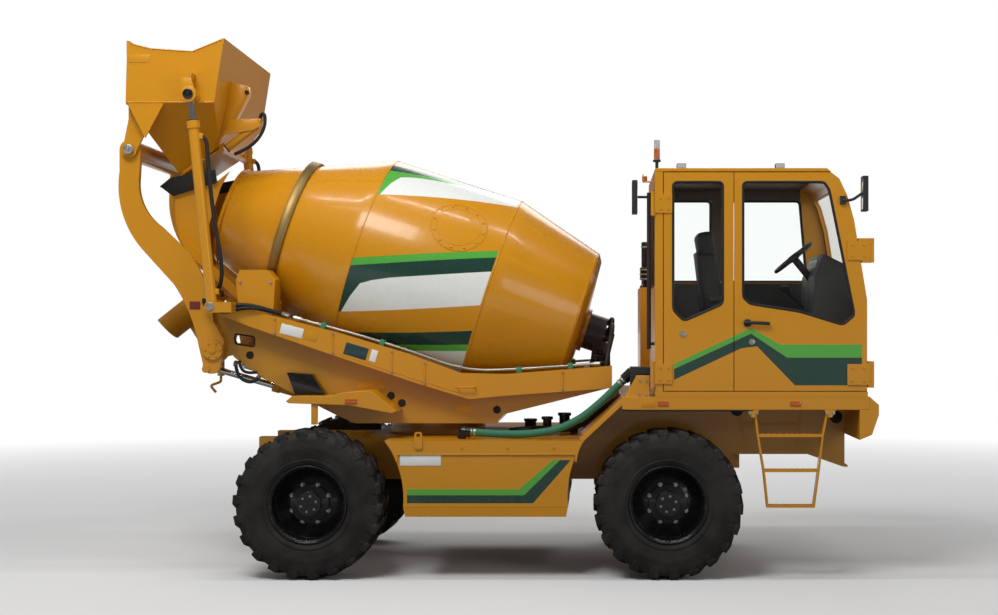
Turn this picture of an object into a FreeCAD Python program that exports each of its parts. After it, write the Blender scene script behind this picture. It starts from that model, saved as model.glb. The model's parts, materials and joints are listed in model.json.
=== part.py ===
"""Self-loading concrete mixer: a low four-wheel chassis, a slewing turret with a tilted drum, and a loader.

Millimetres. +X is forward, +Y is the vehicle's left, +Z is up. The origin is on the ground, in the
middle of the machine. Every function returns the shape of one node, in its place.
"""
import FreeCAD
import Part
import math
import os

V = FreeCAD.Vector

# ---- driving dimensions -------------------------------------------------------------------------
WHEELBASE = 2750.0
TRACK = 2060.0
FIT = 0.3                     # running clearance of pins, shafts and seated curved faces
GAP = 6.0                     # clearance between moving panels

TYRE_D = 1150.0
TYRE_W = 440.0
RIM_D = 572.0                 # bead seat diameter
KINGPIN_Y = 800.0
KINGPIN_R = 28.0
SPINDLE_R = 68.0
AXLE_Z = TYRE_D / 2

FRAME_HALF = 450.0            # outer face of the chassis rails
RAIL_W = 120.0
FRAME_BOTTOM = 700.0
FRAME_TOP = 1040.0
DECK_T = 20.0
DECK_TOP = FRAME_TOP + DECK_T
HALF_W = 1220.0               # half the width over tanks, cab and platform
PLATFORM_TOP = 1396.0
PLATFORM_T = 99.0
PLATFORM_BOTTOM = PLATFORM_TOP - PLATFORM_T
PLATFORM_BACK = 1020.0
PLATFORM_FRONT = 2908.0
SHEET = 12.0
APRON_FRONT = 2977.0
LAMP_FRONT = 2987.0
TOW_EYE_R = 20.0
TOW_PIN_R = 22.0
TOW_PIN_X = 2947.0
TOW_POCKET_R = 60.0

CAB_BACK = 1272.0
CAB_FRONT = 2893.0
CAB_FAR = 330.0
CAB_TOP = 3139.0
CAB_WALL = 40.0
ROOF_T = 27.0
DOOR_T = 40.0
DOOR_SPLIT = 1873.0
DOOR_BOTTOM = 1442.0
REAR_POST = 60.0
HINGE_OUT = 12.0              # how far a door hinge's axis stands out from the door's face
HINGE_R = 13.0
REAR_HINGE_X = 1252.0
FRONT_HINGE_X = 2925.0
CAB_PROFILE = [(CAB_BACK, PLATFORM_TOP), (CAB_BACK, CAB_TOP), (2581, CAB_TOP), (2680, 3063),
               (2741, 2934), (2794, 2743), (CAB_FRONT, 2134), (CAB_FRONT, PLATFORM_TOP)]

SLEW_X = -500.0
RING_R = 400.0
RING_H = 52.0
BASE_BOTTOM = DECK_TOP + 2 * RING_H + FIT
PLATE_IN = 640.0              # inner face of the turret's side plates
PLATE_T = 60.0
FRONT_WALL_TOP = 1290.0       # of the turret's cross wall at its front
BEAM_IN = 660.0
BEAM_OUT = 850.0

DRUM_TILT = math.radians(18)
DRUM_R = 857.0
DRUM_WALL = 12.0
MOUTH_R = 380.0
DRUM_END_R = 640.0
REAR_CONE = 1203.0
DRUM_BODY = 1080.0
FRONT_CONE = 745.0
DRUM_REF = V(-1080, 0, 2490)  # axis point where the rear cone meets the drum's body
RING_AT = 638.0               # roller ring, measured from there towards the mouth
RING_W = 70.0
RING_OUT = 640.0
ROLLER_R = 105.0
ROLLER_ANGLE = math.radians(45)

ARM_IN = 740.0
ARM_T = 60.0
ARM_PIVOT = (-2191.0, 1747.0)
SHAFT_R = 45.0
LEVER = 160.0
LEVER_ANGLE = math.radians(249.5)
LIFT_BASE = (-1092.0, 1264.0)
LIFT_Y = 543.0
LIFT_BARREL = 700.0
BUCKET_PIVOT = (-2844.0, 3321.0)
BUCKET_HALF = 920.0
BUCKET_T = 16.0
TILT_BASE = (-2155.0, 2084.0)
TILT_EYE = (-2325.0, 3727.0)
TILT_Y = 985.0
TILT_BARREL = 1450.0
TILT_R = 42.0
PIN_R = 25.0
BUCKET_TUBE_R = 80.0
OUTLET_HALF = 420.0
GATE_HINGE = (-2228.0, 3385.0)
GATE_LIP = (-2562.0, 3166.0)

CHUTE_X = -2310.0
CHUTE_R = 190.0
CHUTE_SEAT = 2035.0

HOOD_Y0 = 345.0
HOOD_BACK = 1200.0
HOOD_TOP = 2230.0
HOOD_LID_BACK = 1340.0
HOOD_LID_T = 35.0
HOOD_HINGE = (CAB_FRONT - 18, HOOD_TOP + HOOD_LID_T / 2)
HOOD_HINGE_R = 16.0
HOOD_PIN_R = 8.0

SEAT_X = 1880.0
SEAT_Y = -445.0


# ---- shape helpers ------------------------------------------------------------------------------
def box(x0, x1, y0, y1, z0, z1):
    """A block between two corners."""
    return Part.makeBox(x1 - x0, y1 - y0, z1 - z0, V(x0, y0, z0))


def sided(shape):
    """The shape and its mirror image across the vehicle's middle plane."""
    return Part.makeCompound([shape, mirrored(shape)])


def mirrored(shape):
    """The mirror image across the vehicle's middle plane."""
    return shape.mirror(V(0, 0, 0), V(0, 1, 0))


def fused(*shapes):
    """One solid from touching shapes."""
    whole = shapes[0].multiFuse(list(shapes[1:]))
    return whole.removeSplitter()


def bar(start, end, radius):
    """A round bar between two points."""
    return Part.makeCylinder(radius, (end - start).Length, start, end - start)


def cross_bar(at, y0, y1, radius):
    """A round bar along Y at an (x, z) point."""
    return bar(V(at[0], y0, at[1]), V(at[0], y1, at[1]), radius)


def post(x, y, z0, z1, radius):
    """A round bar along Z."""
    return bar(V(x, y, z0), V(x, y, z1), radius)


def path_edges(path, place):
    """Edges of an outline: a plain pair is a line to it, a pair of pairs is an arc through and to them."""
    edges = []
    here = place(path[0])
    for step in path[1:]:
        if isinstance(step[0], tuple):
            through, end = place(step[0]), place(step[1])
            edges.append(Part.Arc(here, through, end).toShape())
        else:
            end = place(step)
            edges.append(Part.makeLine(here, end))
        here = end
    if (here - place(path[0])).Length > 1e-6:
        edges.append(Part.makeLine(here, place(path[0])))
    return edges


def plate(path, y0, y1):
    """A plate cut to an (x, z) outline, between two Y faces."""
    face = Part.Face(Part.Wire(path_edges(path, lambda p: V(p[0], y0, p[1]))))
    return face.extrude(V(0, y1 - y0, 0))


def turned(path, origin, axis):
    """A solid of revolution from an outline of (radius, distance along the axis) pairs."""
    axis = V(axis).normalize()
    side = axis.cross(V(0, 1, 0)) if abs(axis.y) < 0.9 else V(0, 0, 1)
    face = Part.Face(Part.Wire(path_edges(path, lambda p: origin + side * p[0] + axis * p[1])))
    return face.revolve(origin, axis, 360)


def inset(points, depth):
    """A convex outline moved inwards by a depth, as a new list of points."""
    count = len(points)
    turn = sum(points[i][0] * points[(i + 1) % count][1] - points[(i + 1) % count][0] * points[i][1]
               for i in range(count))
    sign = 1 if turn > 0 else -1
    lines = []
    for i in range(count):
        (x0, z0), (x1, z1) = points[i], points[(i + 1) % count]
        length = math.hypot(x1 - x0, z1 - z0)
        nx, nz = -sign * (z1 - z0) / length, sign * (x1 - x0) / length
        lines.append((x0 + nx * depth, z0 + nz * depth, x1 - x0, z1 - z0))
    corners = []
    for i in range(count):
        ax, az, adx, adz = lines[i - 1]
        bx, bz, bdx, bdz = lines[i]
        t = ((bx - ax) * bdz - (bz - az) * bdx) / (adx * bdz - adz * bdx)
        corners.append((ax + adx * t, az + adz * t))
    return corners


def rounded(points, radius):
    """An outline path with every corner turned into an arc of a radius."""
    path = []
    count = len(points)
    for i in range(count):
        here = V(points[i][0], 0, points[i][1])
        back = (V(points[i - 1][0], 0, points[i - 1][1]) - here).normalize()
        ahead = (V(points[(i + 1) % count][0], 0, points[(i + 1) % count][1]) - here).normalize()
        half = back.getAngle(ahead) / 2
        reach = radius / math.tan(half)
        middle = (back + ahead).normalize()
        through = here + middle * (radius / math.sin(half) - radius)
        start, end = here + back * reach, here + ahead * reach
        path.append((start.x, start.z))
        path.append(((through.x, through.z), (end.x, end.z)))
    path.append(path[0])
    return path


def bent_bar(points, radius, share=0.45):
    """A round bar along straight runs joined by tangent arcs, each as large as its two runs allow."""
    edges = []
    here = points[0]
    for i in range(1, len(points) - 1):
        before, corner, after = points[i - 1], points[i], points[i + 1]
        back, ahead = (before - corner), (after - corner)
        reach = share * min(back.Length, ahead.Length)
        back.normalize()
        ahead.normalize()
        half = back.getAngle(ahead) / 2
        arc_radius = reach * math.tan(half)
        start, end = corner + back * reach, corner + ahead * reach
        middle = (back + ahead).normalize()
        through = corner + middle * (arc_radius / math.sin(half) - arc_radius)
        edges.append(Part.makeLine(here, start))
        edges.append(Part.Arc(start, through, end).toShape())
        here = end
    edges.append(Part.makeLine(here, points[-1]))
    section = Part.Wire(Part.makeCircle(radius, points[0], points[1] - points[0]))
    return Part.Wire(edges).makePipeShell([section], True, False)


def at_angle(start, angle, length):
    """The (x, z) point at an angle and distance from another."""
    return (start[0] + length * math.cos(angle), start[1] + length * math.sin(angle))


# ---- chassis ------------------------------------------------------------------------------------
def chassis_frame():
    """Two deep rails with cross members, the raised neck under the cab and the slew ring's fixed half."""
    rail = [(-1900, 860), (-1780, FRAME_BOTTOM), (1860, FRAME_BOTTOM), (1920, 901), (2528, 901),
            (2809, 802), (2855, 796), (2855, 812), (2830, 830), (2830, PLATFORM_BOTTOM),
            (PLATFORM_BACK, PLATFORM_BOTTOM), (740, FRAME_TOP), (-1900, FRAME_TOP)]
    inner = FRAME_HALF - RAIL_W
    left = plate(rail, inner, FRAME_HALF)
    members = [box(x, x + 90, -inner, inner, 780, FRAME_TOP - 60) for x in (-1880, -900, -100, 640, 1900)]
    nose = box(2790, 2830, -inner, inner, 840, PLATFORM_BOTTOM - 20)
    deck = box(-1000, 735, -FRAME_HALF, FRAME_HALF, FRAME_TOP, DECK_TOP)
    ring = Part.makeCylinder(RING_R, RING_H, V(SLEW_X, 0, DECK_TOP))
    hook = box(-1960, -1900, -70, 70, 850, 960)
    bore = post(-1935, 0, 800, 1000, TOW_EYE_R)
    back_beam = box(-1900, -1870, -inner, inner, 840, FRAME_TOP - 60)
    return fused(left, mirrored(left), nose, deck, ring, back_beam, hook, *members).cut(bore)


def axle(x, lead):
    """A steered drive axle: tube, differential, spring pads, and a yoke for each kingpin."""
    tube = bar(V(x, -700, AXLE_Z), V(x, 700, AXLE_Z), 88)
    ball = Part.makeSphere(205, V(x, 0, AXLE_Z)).common(box(x - 150, x + 150, -205, 205, 0, 2000))
    nose = bar(V(x, 0, AXLE_Z), V(x + lead * 260, 0, AXLE_Z), 90)
    inner = FRAME_HALF - RAIL_W
    pads = [box(x - 100, x + 100, s * inner if s > 0 else -FRAME_HALF, FRAME_HALF if s > 0 else -inner,
                AXLE_Z, FRAME_BOTTOM) for s in (1, -1)]
    yokes = []
    for side in (1, -1):
        web = box(x - 85, x + 85, 660, 700, AXLE_Z - 145, AXLE_Z + 145)
        arms = [box(x - 85, x + 85, 690, 880, AXLE_Z + z, AXLE_Z + z + 40) for z in (-145, 105)]
        holes = post(x, KINGPIN_Y, AXLE_Z - 200, AXLE_Z + 200, KINGPIN_R + FIT)
        yoke = fused(web, *arms).cut(holes)
        yokes.append(yoke if side > 0 else mirrored(yoke))
    return fused(tube, ball, nose, *pads, *yokes)


def axle_housings():
    """Both axles, which don't touch each other."""
    return Part.makeCompound([axle(WHEELBASE / 2, -1), axle(-WHEELBASE / 2, 1)])


def knuckle(x, side):
    """A steering knuckle: kingpin, body, hub spindle and steering arm."""
    body = post(x, KINGPIN_Y, AXLE_Z - 104, AXLE_Z + 104, 74)
    pin = post(x, KINGPIN_Y, AXLE_Z - 150, AXLE_Z + 150, KINGPIN_R)
    spindle = bar(V(x, KINGPIN_Y, AXLE_Z), V(x, TRACK / 2 + 40, AXLE_Z), SPINDLE_R)
    arm = box(x - 200 if x > 0 else x, x if x > 0 else x + 200, KINGPIN_Y - 46, KINGPIN_Y - 11,
              AXLE_Z - 60, AXLE_Z - 30)
    whole = fused(body, pin, spindle, arm)
    return whole if side > 0 else mirrored(whole)


def rim(x, side):
    """A steel rim with its dished disc and the hub that the disc is bolted to."""
    seat, end = RIM_D / 2, TYRE_W / 2 - 30
    inner = seat - 14
    path = [(inner, end), (inner, 20), (150, 56), (150, 90), (95, 100), (95, 150), (0, 150), (0, 50),
            (SPINDLE_R + FIT, 50), (SPINDLE_R + FIT, -70), (150, -70), (150, 38), (inner, 2), (inner, -end),
            (seat + 4, -end - 18), (seat + 14, -end - 18), (seat + 14, -end - 8), (seat, -end),
            (seat, end), (seat + 14, end + 8), (seat + 14, end + 18), (seat + 4, end + 18)]
    whole = turned(path, V(x, TRACK / 2, AXLE_Z), V(0, 1, 0))
    return whole if side > 0 else mirrored(whole)


def tyre(x, side):
    """A wide tyre, hollow inside, out to the tips of its lugs."""
    seat, half, outer = RIM_D / 2 + FIT, TYRE_W / 2, TYRE_D / 2
    bead = half - 31
    path = [(seat, -bead), (seat + 18, -bead), (seat + 34, -half + 8), ((seat + 110, -half), (outer - 60, -half + 12)),
            (outer - 22, -half + 30), (outer, -half + 70), (outer, half - 70), (outer - 22, half - 30),
            (outer - 60, half - 12), ((seat + 110, half), (seat + 34, half - 8)), (seat + 18, bead), (seat, bead),
            (seat, half - 70), ((seat + 120, half - 38), (outer - 60, half - 70)),
            (outer - 60, 70 - half), ((seat + 120, 38 - half), (seat, 70 - half))]
    whole = turned(path, V(x, TRACK / 2, AXLE_Z), V(0, 1, 0))
    return whole if side > 0 else mirrored(whole)


def side_tanks():
    """The tanks between the wheels, curved at both ends to clear them, with a turned top edge."""
    top, bottom = DECK_TOP, 482.0
    path = [(-792, top), ((-702, 905), (-648, 560)), (-632, bottom), (594, bottom), (610, 560),
            ((652, 905), (731, top))]
    tank = plate(path, FRAME_HALF, HALF_W - 10)
    skin = [(-792, top), ((-734, 980), (-700, 900)), (-690, 900), (-690, 954), (663, 954), (663, 900),
            (674, 900), ((690, 980), (731, top))]
    flange = plate(skin, HALF_W - 10, HALF_W)
    eye = plate(rounded([(-560, top - 60), (-560, top + 70), (-500, top + 70), (-500, top - 60)], 20),
                HALF_W, HALF_W + 14)
    eye = eye.cut(cross_bar((-530, top + 42), HALF_W - 20, HALF_W + 40, 16))
    half = fused(tank, flange, eye)
    return sided(half)


def cab_platform():
    """The deck that carries cab and engine: a top sheet, a deep edge, and the slanted mudguards behind it."""
    slab = box(PLATFORM_BACK, PLATFORM_FRONT, -HALF_W, HALF_W, PLATFORM_BOTTOM, PLATFORM_TOP)
    inner = FRAME_HALF - RAIL_W
    hollows = [box(PLATFORM_BACK + 15, PLATFORM_FRONT - 15, y0, y1, PLATFORM_BOTTOM - 1, PLATFORM_TOP - 15)
               for y0, y1 in ((-HALF_W + 15, -FRAME_HALF), (-inner, inner), (FRAME_HALF, HALF_W - 15))]
    guard = plate([(731, DECK_TOP), (PLATFORM_BACK, 1330), (PLATFORM_BACK, 1380), (700, DECK_TOP + 22),
                   (700, DECK_TOP)], FRAME_HALF, HALF_W)
    gusset = plate([(1045, PLATFORM_TOP), (1232, PLATFORM_TOP), (1232, 1560), (1130, 1560)],
                   -HALF_W + 20, -HALF_W + 32)
    whole = slab
    for hollow in hollows:
        whole = whole.cut(hollow)
    return fused(whole, guard, mirrored(guard), gusset)


def front_guard():
    """The bent front apron under the cab, closed by an end plate on each side."""
    outline = [(PLATFORM_FRONT, PLATFORM_TOP), (APRON_FRONT, 1335), (APRON_FRONT, 1259), (2924, 1107), (2830, 1068),
               (2830, PLATFORM_BOTTOM), (PLATFORM_FRONT, PLATFORM_BOTTOM)]
    body = plate(outline, -HALF_W, HALF_W)
    hollow = plate([(PLATFORM_FRONT, 1382), (2965, 1330), (2965, 1262), (2915, 1117), (2842, 1086),
                    (2842, PLATFORM_BOTTOM - 12), (PLATFORM_FRONT, PLATFORM_BOTTOM - 12)],
                   -HALF_W + SHEET, HALF_W - SHEET)
    apron = body.cut(hollow)
    pocket = post(TOW_PIN_X, 0, 1060, 1330, TOW_POCKET_R)
    pin_block = box(2890, LAMP_FRONT, -70, 70, 1150, 1215)
    return fused(apron.cut(pocket), pin_block).cut(post(TOW_PIN_X, 0, 1100, 1300, TOW_PIN_R))


def ladder():
    """The access ladder under the cab door: bent side bars, treads and the two hanger plates."""
    bars = []
    for top, knee, low, foot in (((2025, PLATFORM_BOTTOM), (2048, 1099), (2094, 832), (2124, 551)),
                                 ((2596, PLATFORM_BOTTOM), (2558, 1099), (2528, 832), (2490, 551))):
        inward = 16 if top[0] < 2300 else -16
        path = [top, knee, low, foot, (foot[0] + inward, foot[1]), (low[0] + inward, low[1]),
                (knee[0] + inward, knee[1]), (top[0] + inward, top[1])]
        bars.append(plate(path, -HALF_W + 10, -HALF_W + 80))
    treads = [box(x0, x1, -HALF_W + 10, -HALF_W + 80, z, z + 22)
              for x0, x1, z in ((2050, 2556, 1090), (2096, 2526, 822), (2124, 2490, 551))]
    hangers = [plate([(x, PLATFORM_BOTTOM), (x + 90, PLATFORM_BOTTOM), (x + 60, 1240), (x + 30, 1240)],
                     -HALF_W, -HALF_W + 10) for x in (1975, 2560)]
    return fused(*bars, *treads, *hangers)


# ---- cab ----------------------------------------------------------------------------------------
REAR_WINDOW = [(1409, 3033), (1789, 3033), (1789, 2104), (1492, 1974), (1409, 2058)]
FRONT_WINDOW = [(1942, 3033), (2560, 3033), (2600, 2972), (2792, 2020), (2703, 1944), (2375, 2045),
                (1995, 2104), (1942, 2157)]
LEFT_WINDOWS = ([(1420, 2312), (1800, 2312), (1800, 3000), (1420, 3000)],
                [(1900, 2312), (2620, 2312), (2560, 3000), (1900, 3000)])
WINDOW_R = 45.0
NEAR = -HALF_W
INSIDE = -HALF_W + DOOR_T + GAP
SCREEN = (2620.0, 3000.0, NEAR + 130, CAB_FAR - 90, 2160.0, 2995.0)
BACK_WINDOW = (NEAR + 170, CAB_FAR - 130, 2250.0, 2980.0)


def cab_ring(outer, inner, y0, y1):
    """The cab's outline between two insets, as a band across the cab."""
    band = plate(inset(CAB_PROFILE, outer), y0, y1)
    return band.cut(plate(inset(CAB_PROFILE, inner), y0 - 1, y1 + 1))


def cab_shell():
    """The cab's walls: rear wall, far wall, curved front with its screen opening, and the door frame."""
    band = cab_ring(0, CAB_WALL, INSIDE, CAB_FAR)
    far = plate(CAB_PROFILE, CAB_FAR - CAB_WALL, CAB_FAR)
    whole = fused(band, far)
    jamb = cab_ring(CAB_WALL - 1, CAB_WALL + 35, INSIDE, INSIDE + 40)
    back_post = box(CAB_BACK, CAB_BACK + REAR_POST, NEAR, INSIDE, PLATFORM_TOP, CAB_TOP - ROOF_T)
    sill = box(CAB_BACK, CAB_FRONT, NEAR, INSIDE, PLATFORM_TOP, DOOR_BOTTOM - GAP)
    whole = fused(whole, jamb, back_post, sill)
    whole = whole.cut(box(1000, 3000, -2000, 2000, CAB_TOP - ROOF_T, 4000))
    whole = whole.cut(box(CAB_BACK - 1, CAB_BACK + CAB_WALL + 1, *BACK_WINDOW))
    whole = whole.cut(box(*SCREEN))
    whole = whole.cut(box(CAB_BACK + CAB_WALL, CAB_FRONT - CAB_WALL, INSIDE + 41, CAB_FAR - CAB_WALL,
                          PLATFORM_TOP - 1, PLATFORM_TOP + CAB_WALL + 1))
    for window in LEFT_WINDOWS:
        whole = whole.cut(plate(rounded(window, WINDOW_R), CAB_FAR - CAB_WALL - 1, CAB_FAR + 1))
    return whole


def cab_roof():
    """The roof panel, with its curved leading edge."""
    whole = plate(CAB_PROFILE, NEAR, CAB_FAR)
    return whole.common(box(1000, 3000, -2000, 2000, CAB_TOP - ROOF_T, 4000))


def cab_glass():
    """The fixed panes: windscreen, rear window and the two far side windows."""
    x0, x1, y0, y1, z0, z1 = SCREEN
    screen = cab_ring(16, 24, y0 + FIT, y1 - FIT).common(box(x0 + FIT, x1, y0, y1, z0 + FIT, z1 - FIT))
    y0, y1, z0, z1 = BACK_WINDOW
    back = box(CAB_BACK + 16, CAB_BACK + 24, y0 + FIT, y1 - FIT, z0 + FIT, z1 - FIT)
    sides = [plate(rounded(inset(window, FIT), WINDOW_R), CAB_FAR - 24, CAB_FAR - 16)
             for window in LEFT_WINDOWS]
    return Part.makeCompound([screen, back] + sides)


def hinge_knuckles(x, reach, heights):
    """Hinge plates on a door's face with the barrels at their outer end."""
    shapes = []
    for z0, z1 in heights:
        y = NEAR - HINGE_OUT
        x0, x1 = sorted((x, x + reach))
        shapes.append(box(x0, x1, NEAR - HINGE_OUT, NEAR, z0, z1))
        shapes.append(post(x, y, z0, z1, HINGE_R))
    return shapes


REAR_HINGES = ((2797, 2941), (1495, 1647))
FRONT_HINGES = ((2439, 2584), (1487, 1647))


def hinge_lug(x, low, high, inner):
    """A lug beside a door hinge's barrel, with its share of the pin, reaching in behind the door's edge."""
    y = NEAR - HINGE_OUT
    pin = post(x, y, low, high, HINGE_R)
    x0, x1 = sorted((x, CAB_BACK if x < DOOR_SPLIT else inner))
    return fused(pin, box(x0, x1, y, INSIDE + 40, low, high))


def cab_front_at(z):
    """Where the cab's front face stands at a height under its upper bend."""
    (x0, z0), (x1, z1) = CAB_PROFILE[5], CAB_PROFILE[6]
    return x1 if z < z1 else x1 + (x0 - x1) * (z - z1) / (z0 - z1)


def hinge_brackets():
    """Every lug that carries a door hinge at the cab's rear post and at its front corner."""
    lugs = []
    for x, heights in ((REAR_HINGE_X, REAR_HINGES), (FRONT_HINGE_X, FRONT_HINGES)):
        for z0, z1 in heights:
            for low, high in ((z0 - 20 - FIT, z0 - FIT), (z1 + FIT, z1 + 20 + FIT)):
                face = cab_front_at(low)
                lug = hinge_lug(x, low, high, face)
                if x > DOOR_SPLIT:
                    lug = fused(lug, box(face - 20, face, INSIDE, INSIDE + 40, low, high))
                lugs.append(lug)
    return lugs


def door_leaf(x0, x1, window):
    """One door leaf between two X edges, cut to the cab's outline, with its window opening."""
    outline = inset(CAB_PROFILE, GAP)
    leaf = plate(outline, NEAR, NEAR + DOOR_T)
    leaf = leaf.common(box(x0, x1, NEAR - 1, 0, DOOR_BOTTOM, CAB_TOP - ROOF_T - GAP))
    return leaf.cut(plate(rounded(window, WINDOW_R), NEAR - 1, NEAR + DOOR_T + 1))


def door_front():
    """The front door leaf, hinged at the cab's front corner."""
    leaf = door_leaf(DOOR_SPLIT + GAP / 2, CAB_FRONT, FRONT_WINDOW)
    return fused(leaf, *hinge_knuckles(FRONT_HINGE_X, -190, FRONT_HINGES))


def door_rear():
    """The rear door leaf, hinged at the cab's rear post."""
    leaf = door_leaf(CAB_BACK + REAR_POST + GAP, DOOR_SPLIT - GAP / 2, REAR_WINDOW)
    return fused(leaf, *hinge_knuckles(REAR_HINGE_X, 150, REAR_HINGES))


def door_pane(window):
    """The glass of a door's window, seated in its opening."""
    return plate(rounded(inset(window, FIT), WINDOW_R), NEAR + 16, NEAR + 24)


def mirror_front():
    """The door mirror: head and stay."""
    head = box(2845, 2885, NEAR - 75, NEAR + 45, 2808, 3074)
    stay = bent_bar([V(2700, NEAR - 15, 2892), V(2770, NEAR - 30, 2892), V(2865, NEAR - 30, 2960)], 11)
    foot = box(2680, 2722, NEAR - 20, NEAR, 2860, 2925)
    return fused(head, stay, foot)


def mirror_rear():
    """The rear view mirror and the tall black rail behind the cab that carries it."""
    y = NEAR + 160
    head = box(1100, 1140, y - 90, y + 90, 2800, 3054)
    rail = post(1230, y, 1760, 2964, 16)
    arms = [bar(V(1230, y, z), V(CAB_BACK, y, z), 12) for z in (1800, 2930)]
    stay = bar(V(1120, y, 2930), V(1230, y, 2930), 10)
    return fused(head, rail, stay, *arms)


def lamps():
    """Roof work lamps, the beacon, and the head lamps in the apron."""
    parts = []
    for x in (1475, 2228):
        parts.append(box(x - 34, x + 34, NEAR + 30, NEAR + 90, CAB_TOP, CAB_TOP + 36))
    beacon = fused(post(1290, -1100, CAB_TOP, CAB_TOP + 60, 10), post(1290, -1100, CAB_TOP + 60, 3364, 22))
    parts.append(beacon)
    for y in (-960, 960):
        parts.append(bar(V(APRON_FRONT, y, 1297), V(LAMP_FRONT, y, 1297), 36))
    return Part.makeCompound(parts)


def cab_console():
    """The dash panel with its instrument pod, and the steering column and wheel."""
    pod = plate([(2560, PLATFORM_TOP), (2830, PLATFORM_TOP), (2830, 2110), (2762, 2420), (2600, 2500),
                 (2535, 2330), (2520, 1900)], -900, -60)
    centre = V(2418, SEAT_Y, 2488)
    lean = V(-math.sin(math.radians(39)), 0, math.cos(math.radians(39)))
    column = bar(V(2560, SEAT_Y, 2312), centre - lean * 20, 30)
    wheel = Part.makeTorus(180, 15, centre, lean)
    hub = bar(centre - lean * 25, centre + lean * 12, 45)
    spoke_x = lean.cross(V(0, 1, 0)).normalize()
    spokes = [bar(centre, centre + (spoke_x * math.cos(a) + V(0, 1, 0) * math.sin(a)) * 180, 11)
              for a in (math.radians(d) for d in (90, 210, 330))]
    return fused(pod, column, wheel, hub, *spokes)


def seat():
    """The driver's seat on its swivel post: cushion, back rest and arm rests."""
    base = post(SEAT_X, SEAT_Y, PLATFORM_TOP + CAB_WALL + 2, 1860, 90)
    foot = post(SEAT_X, SEAT_Y, PLATFORM_TOP + FIT, PLATFORM_TOP + CAB_WALL + 2, 150)
    cushion = box(SEAT_X - 260, SEAT_X + 240, SEAT_Y - 240, SEAT_Y + 240, 1860, 1990)
    back = plate([(1625, 1860), (1790, 1860), (1800, 2010), (1830, 2100), (1812, 2540), (1740, 2686),
                  (1650, 2670), (1700, 2500), (1680, 2100)], SEAT_Y - 230, SEAT_Y + 230)
    return fused(base, foot, cushion, back)


# ---- engine side --------------------------------------------------------------------------------
def engine_block():
    """The diesel engine and pumps as one heavy block on the platform."""
    return box(1450, 2450, HOOD_Y0 + 135, HALF_W - 130, PLATFORM_TOP, HOOD_TOP - 150)


def engine_housing():
    """The sheet housing round the engine: four walls, a fixed rear cowl, and a grille opening in front."""
    outer = box(HOOD_BACK, CAB_FRONT, HOOD_Y0, HALF_W, PLATFORM_TOP, HOOD_TOP)
    inner = box(HOOD_BACK + 20, CAB_FRONT - 20, HOOD_Y0 + 20, HALF_W - 20, PLATFORM_TOP - 1, HOOD_TOP + 1)
    walls = outer.cut(inner)
    cowl = box(HOOD_BACK, HOOD_LID_BACK - GAP, HOOD_Y0, HALF_W, HOOD_TOP - 20, HOOD_TOP + HOOD_LID_T)
    whole = fused(walls, cowl)
    for z in range(1560, 2121, 80):
        whole = whole.cut(box(2850, 2900, HOOD_Y0 + 120, HALF_W - 120, z, z + 45))
        whole = whole.cut(box(1500, 2300, HALF_W - 30, HALF_W + 10, z, z + 35))
    x, z = HOOD_HINGE
    for start, end in hood_knuckles(1):
        knuckle = fused(cross_bar(HOOD_HINGE, start, end, HOOD_HINGE_R),
                        box(x - HOOD_HINGE_R, x, start, end, HOOD_TOP - 2 * HOOD_HINGE_R, z))
        whole = fused(whole, knuckle.cut(cross_bar(HOOD_HINGE, start - 1, end + 1, HOOD_PIN_R + FIT)))
    return whole


def hood_knuckles(turn):
    """The spans across the vehicle of the hood hinge's knuckles: turn 0 the lid's, turn 1 the housing's."""
    spans = []
    for middle in (HOOD_Y0 + 150, (HOOD_Y0 + HALF_W) / 2, HALF_W - 150):
        if turn == 0:
            spans.append((middle - 30, middle + 30))
        else:
            spans += [(middle - 62, middle - 30 - FIT), (middle + 30 + FIT, middle + 62)]
    return spans


def hood():
    """The engine's lid, hinged along its front edge."""
    x, z = HOOD_HINGE
    lid = box(HOOD_LID_BACK, x - HOOD_HINGE_R - FIT, HOOD_Y0, HALF_W, HOOD_TOP + FIT, HOOD_TOP + HOOD_LID_T)
    for start, end in hood_knuckles(0):
        leaf = box(x - HOOD_HINGE_R - 20, x, start, end, z, HOOD_TOP + HOOD_LID_T)
        pin = cross_bar(HOOD_HINGE, start - 32, end + 32, HOOD_PIN_R)
        lid = fused(lid, leaf, cross_bar(HOOD_HINGE, start, end, HOOD_HINGE_R), pin)
    return lid


def air_stack():
    """The air pre-cleaner and the exhaust pipe on the fixed cowl."""
    top = HOOD_TOP + HOOD_LID_T
    cleaner = fused(post(1267, 620, top, top + 70, 38), post(1267, 620, top + 70, top + 180, 62))
    exhaust = fused(post(1267, 980, top, top + 420, 40), post(1267, 980, top, top + 30, 55))
    return Part.makeCompound([cleaner, exhaust])


HOSE_R = 30.0
HOSE_INSET = 250.0            # the hose's run, in from the vehicle's side
HOSE_LINE = [(-150, 0, 1112), (60, -2, 1098), (290, 2, 1095), (520, 8, 1128), (715, 10, 1222), (880, 4, 1362),
             (1040, 0, 1520)]
HOSE_ROUTE = [(x, HOSE_INSET + y - HALF_W, z) for x, y, z in HOSE_LINE]
PUMP_OUTER = HALF_W - 140     # the pump block's face on the cab's side
PUMP_W = 220.0
PUMP_TOP = 1620.0


def water_pump():
    """The water pump and valve block behind the cab."""
    inner = PUMP_W - PUMP_OUTER
    body = box(1085, 1240, -PUMP_OUTER, inner, PLATFORM_TOP, PUMP_TOP)
    motor = bar(V(1160, inner, PUMP_TOP - 130), V(1160, inner + 160, PUMP_TOP - 130), 60)
    end = V(*HOSE_ROUTE[-1])
    inlet = bar(end, end + (end - V(*HOSE_ROUTE[-2])).normalize() * 90, 42)
    return fused(body, motor, inlet)


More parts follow.
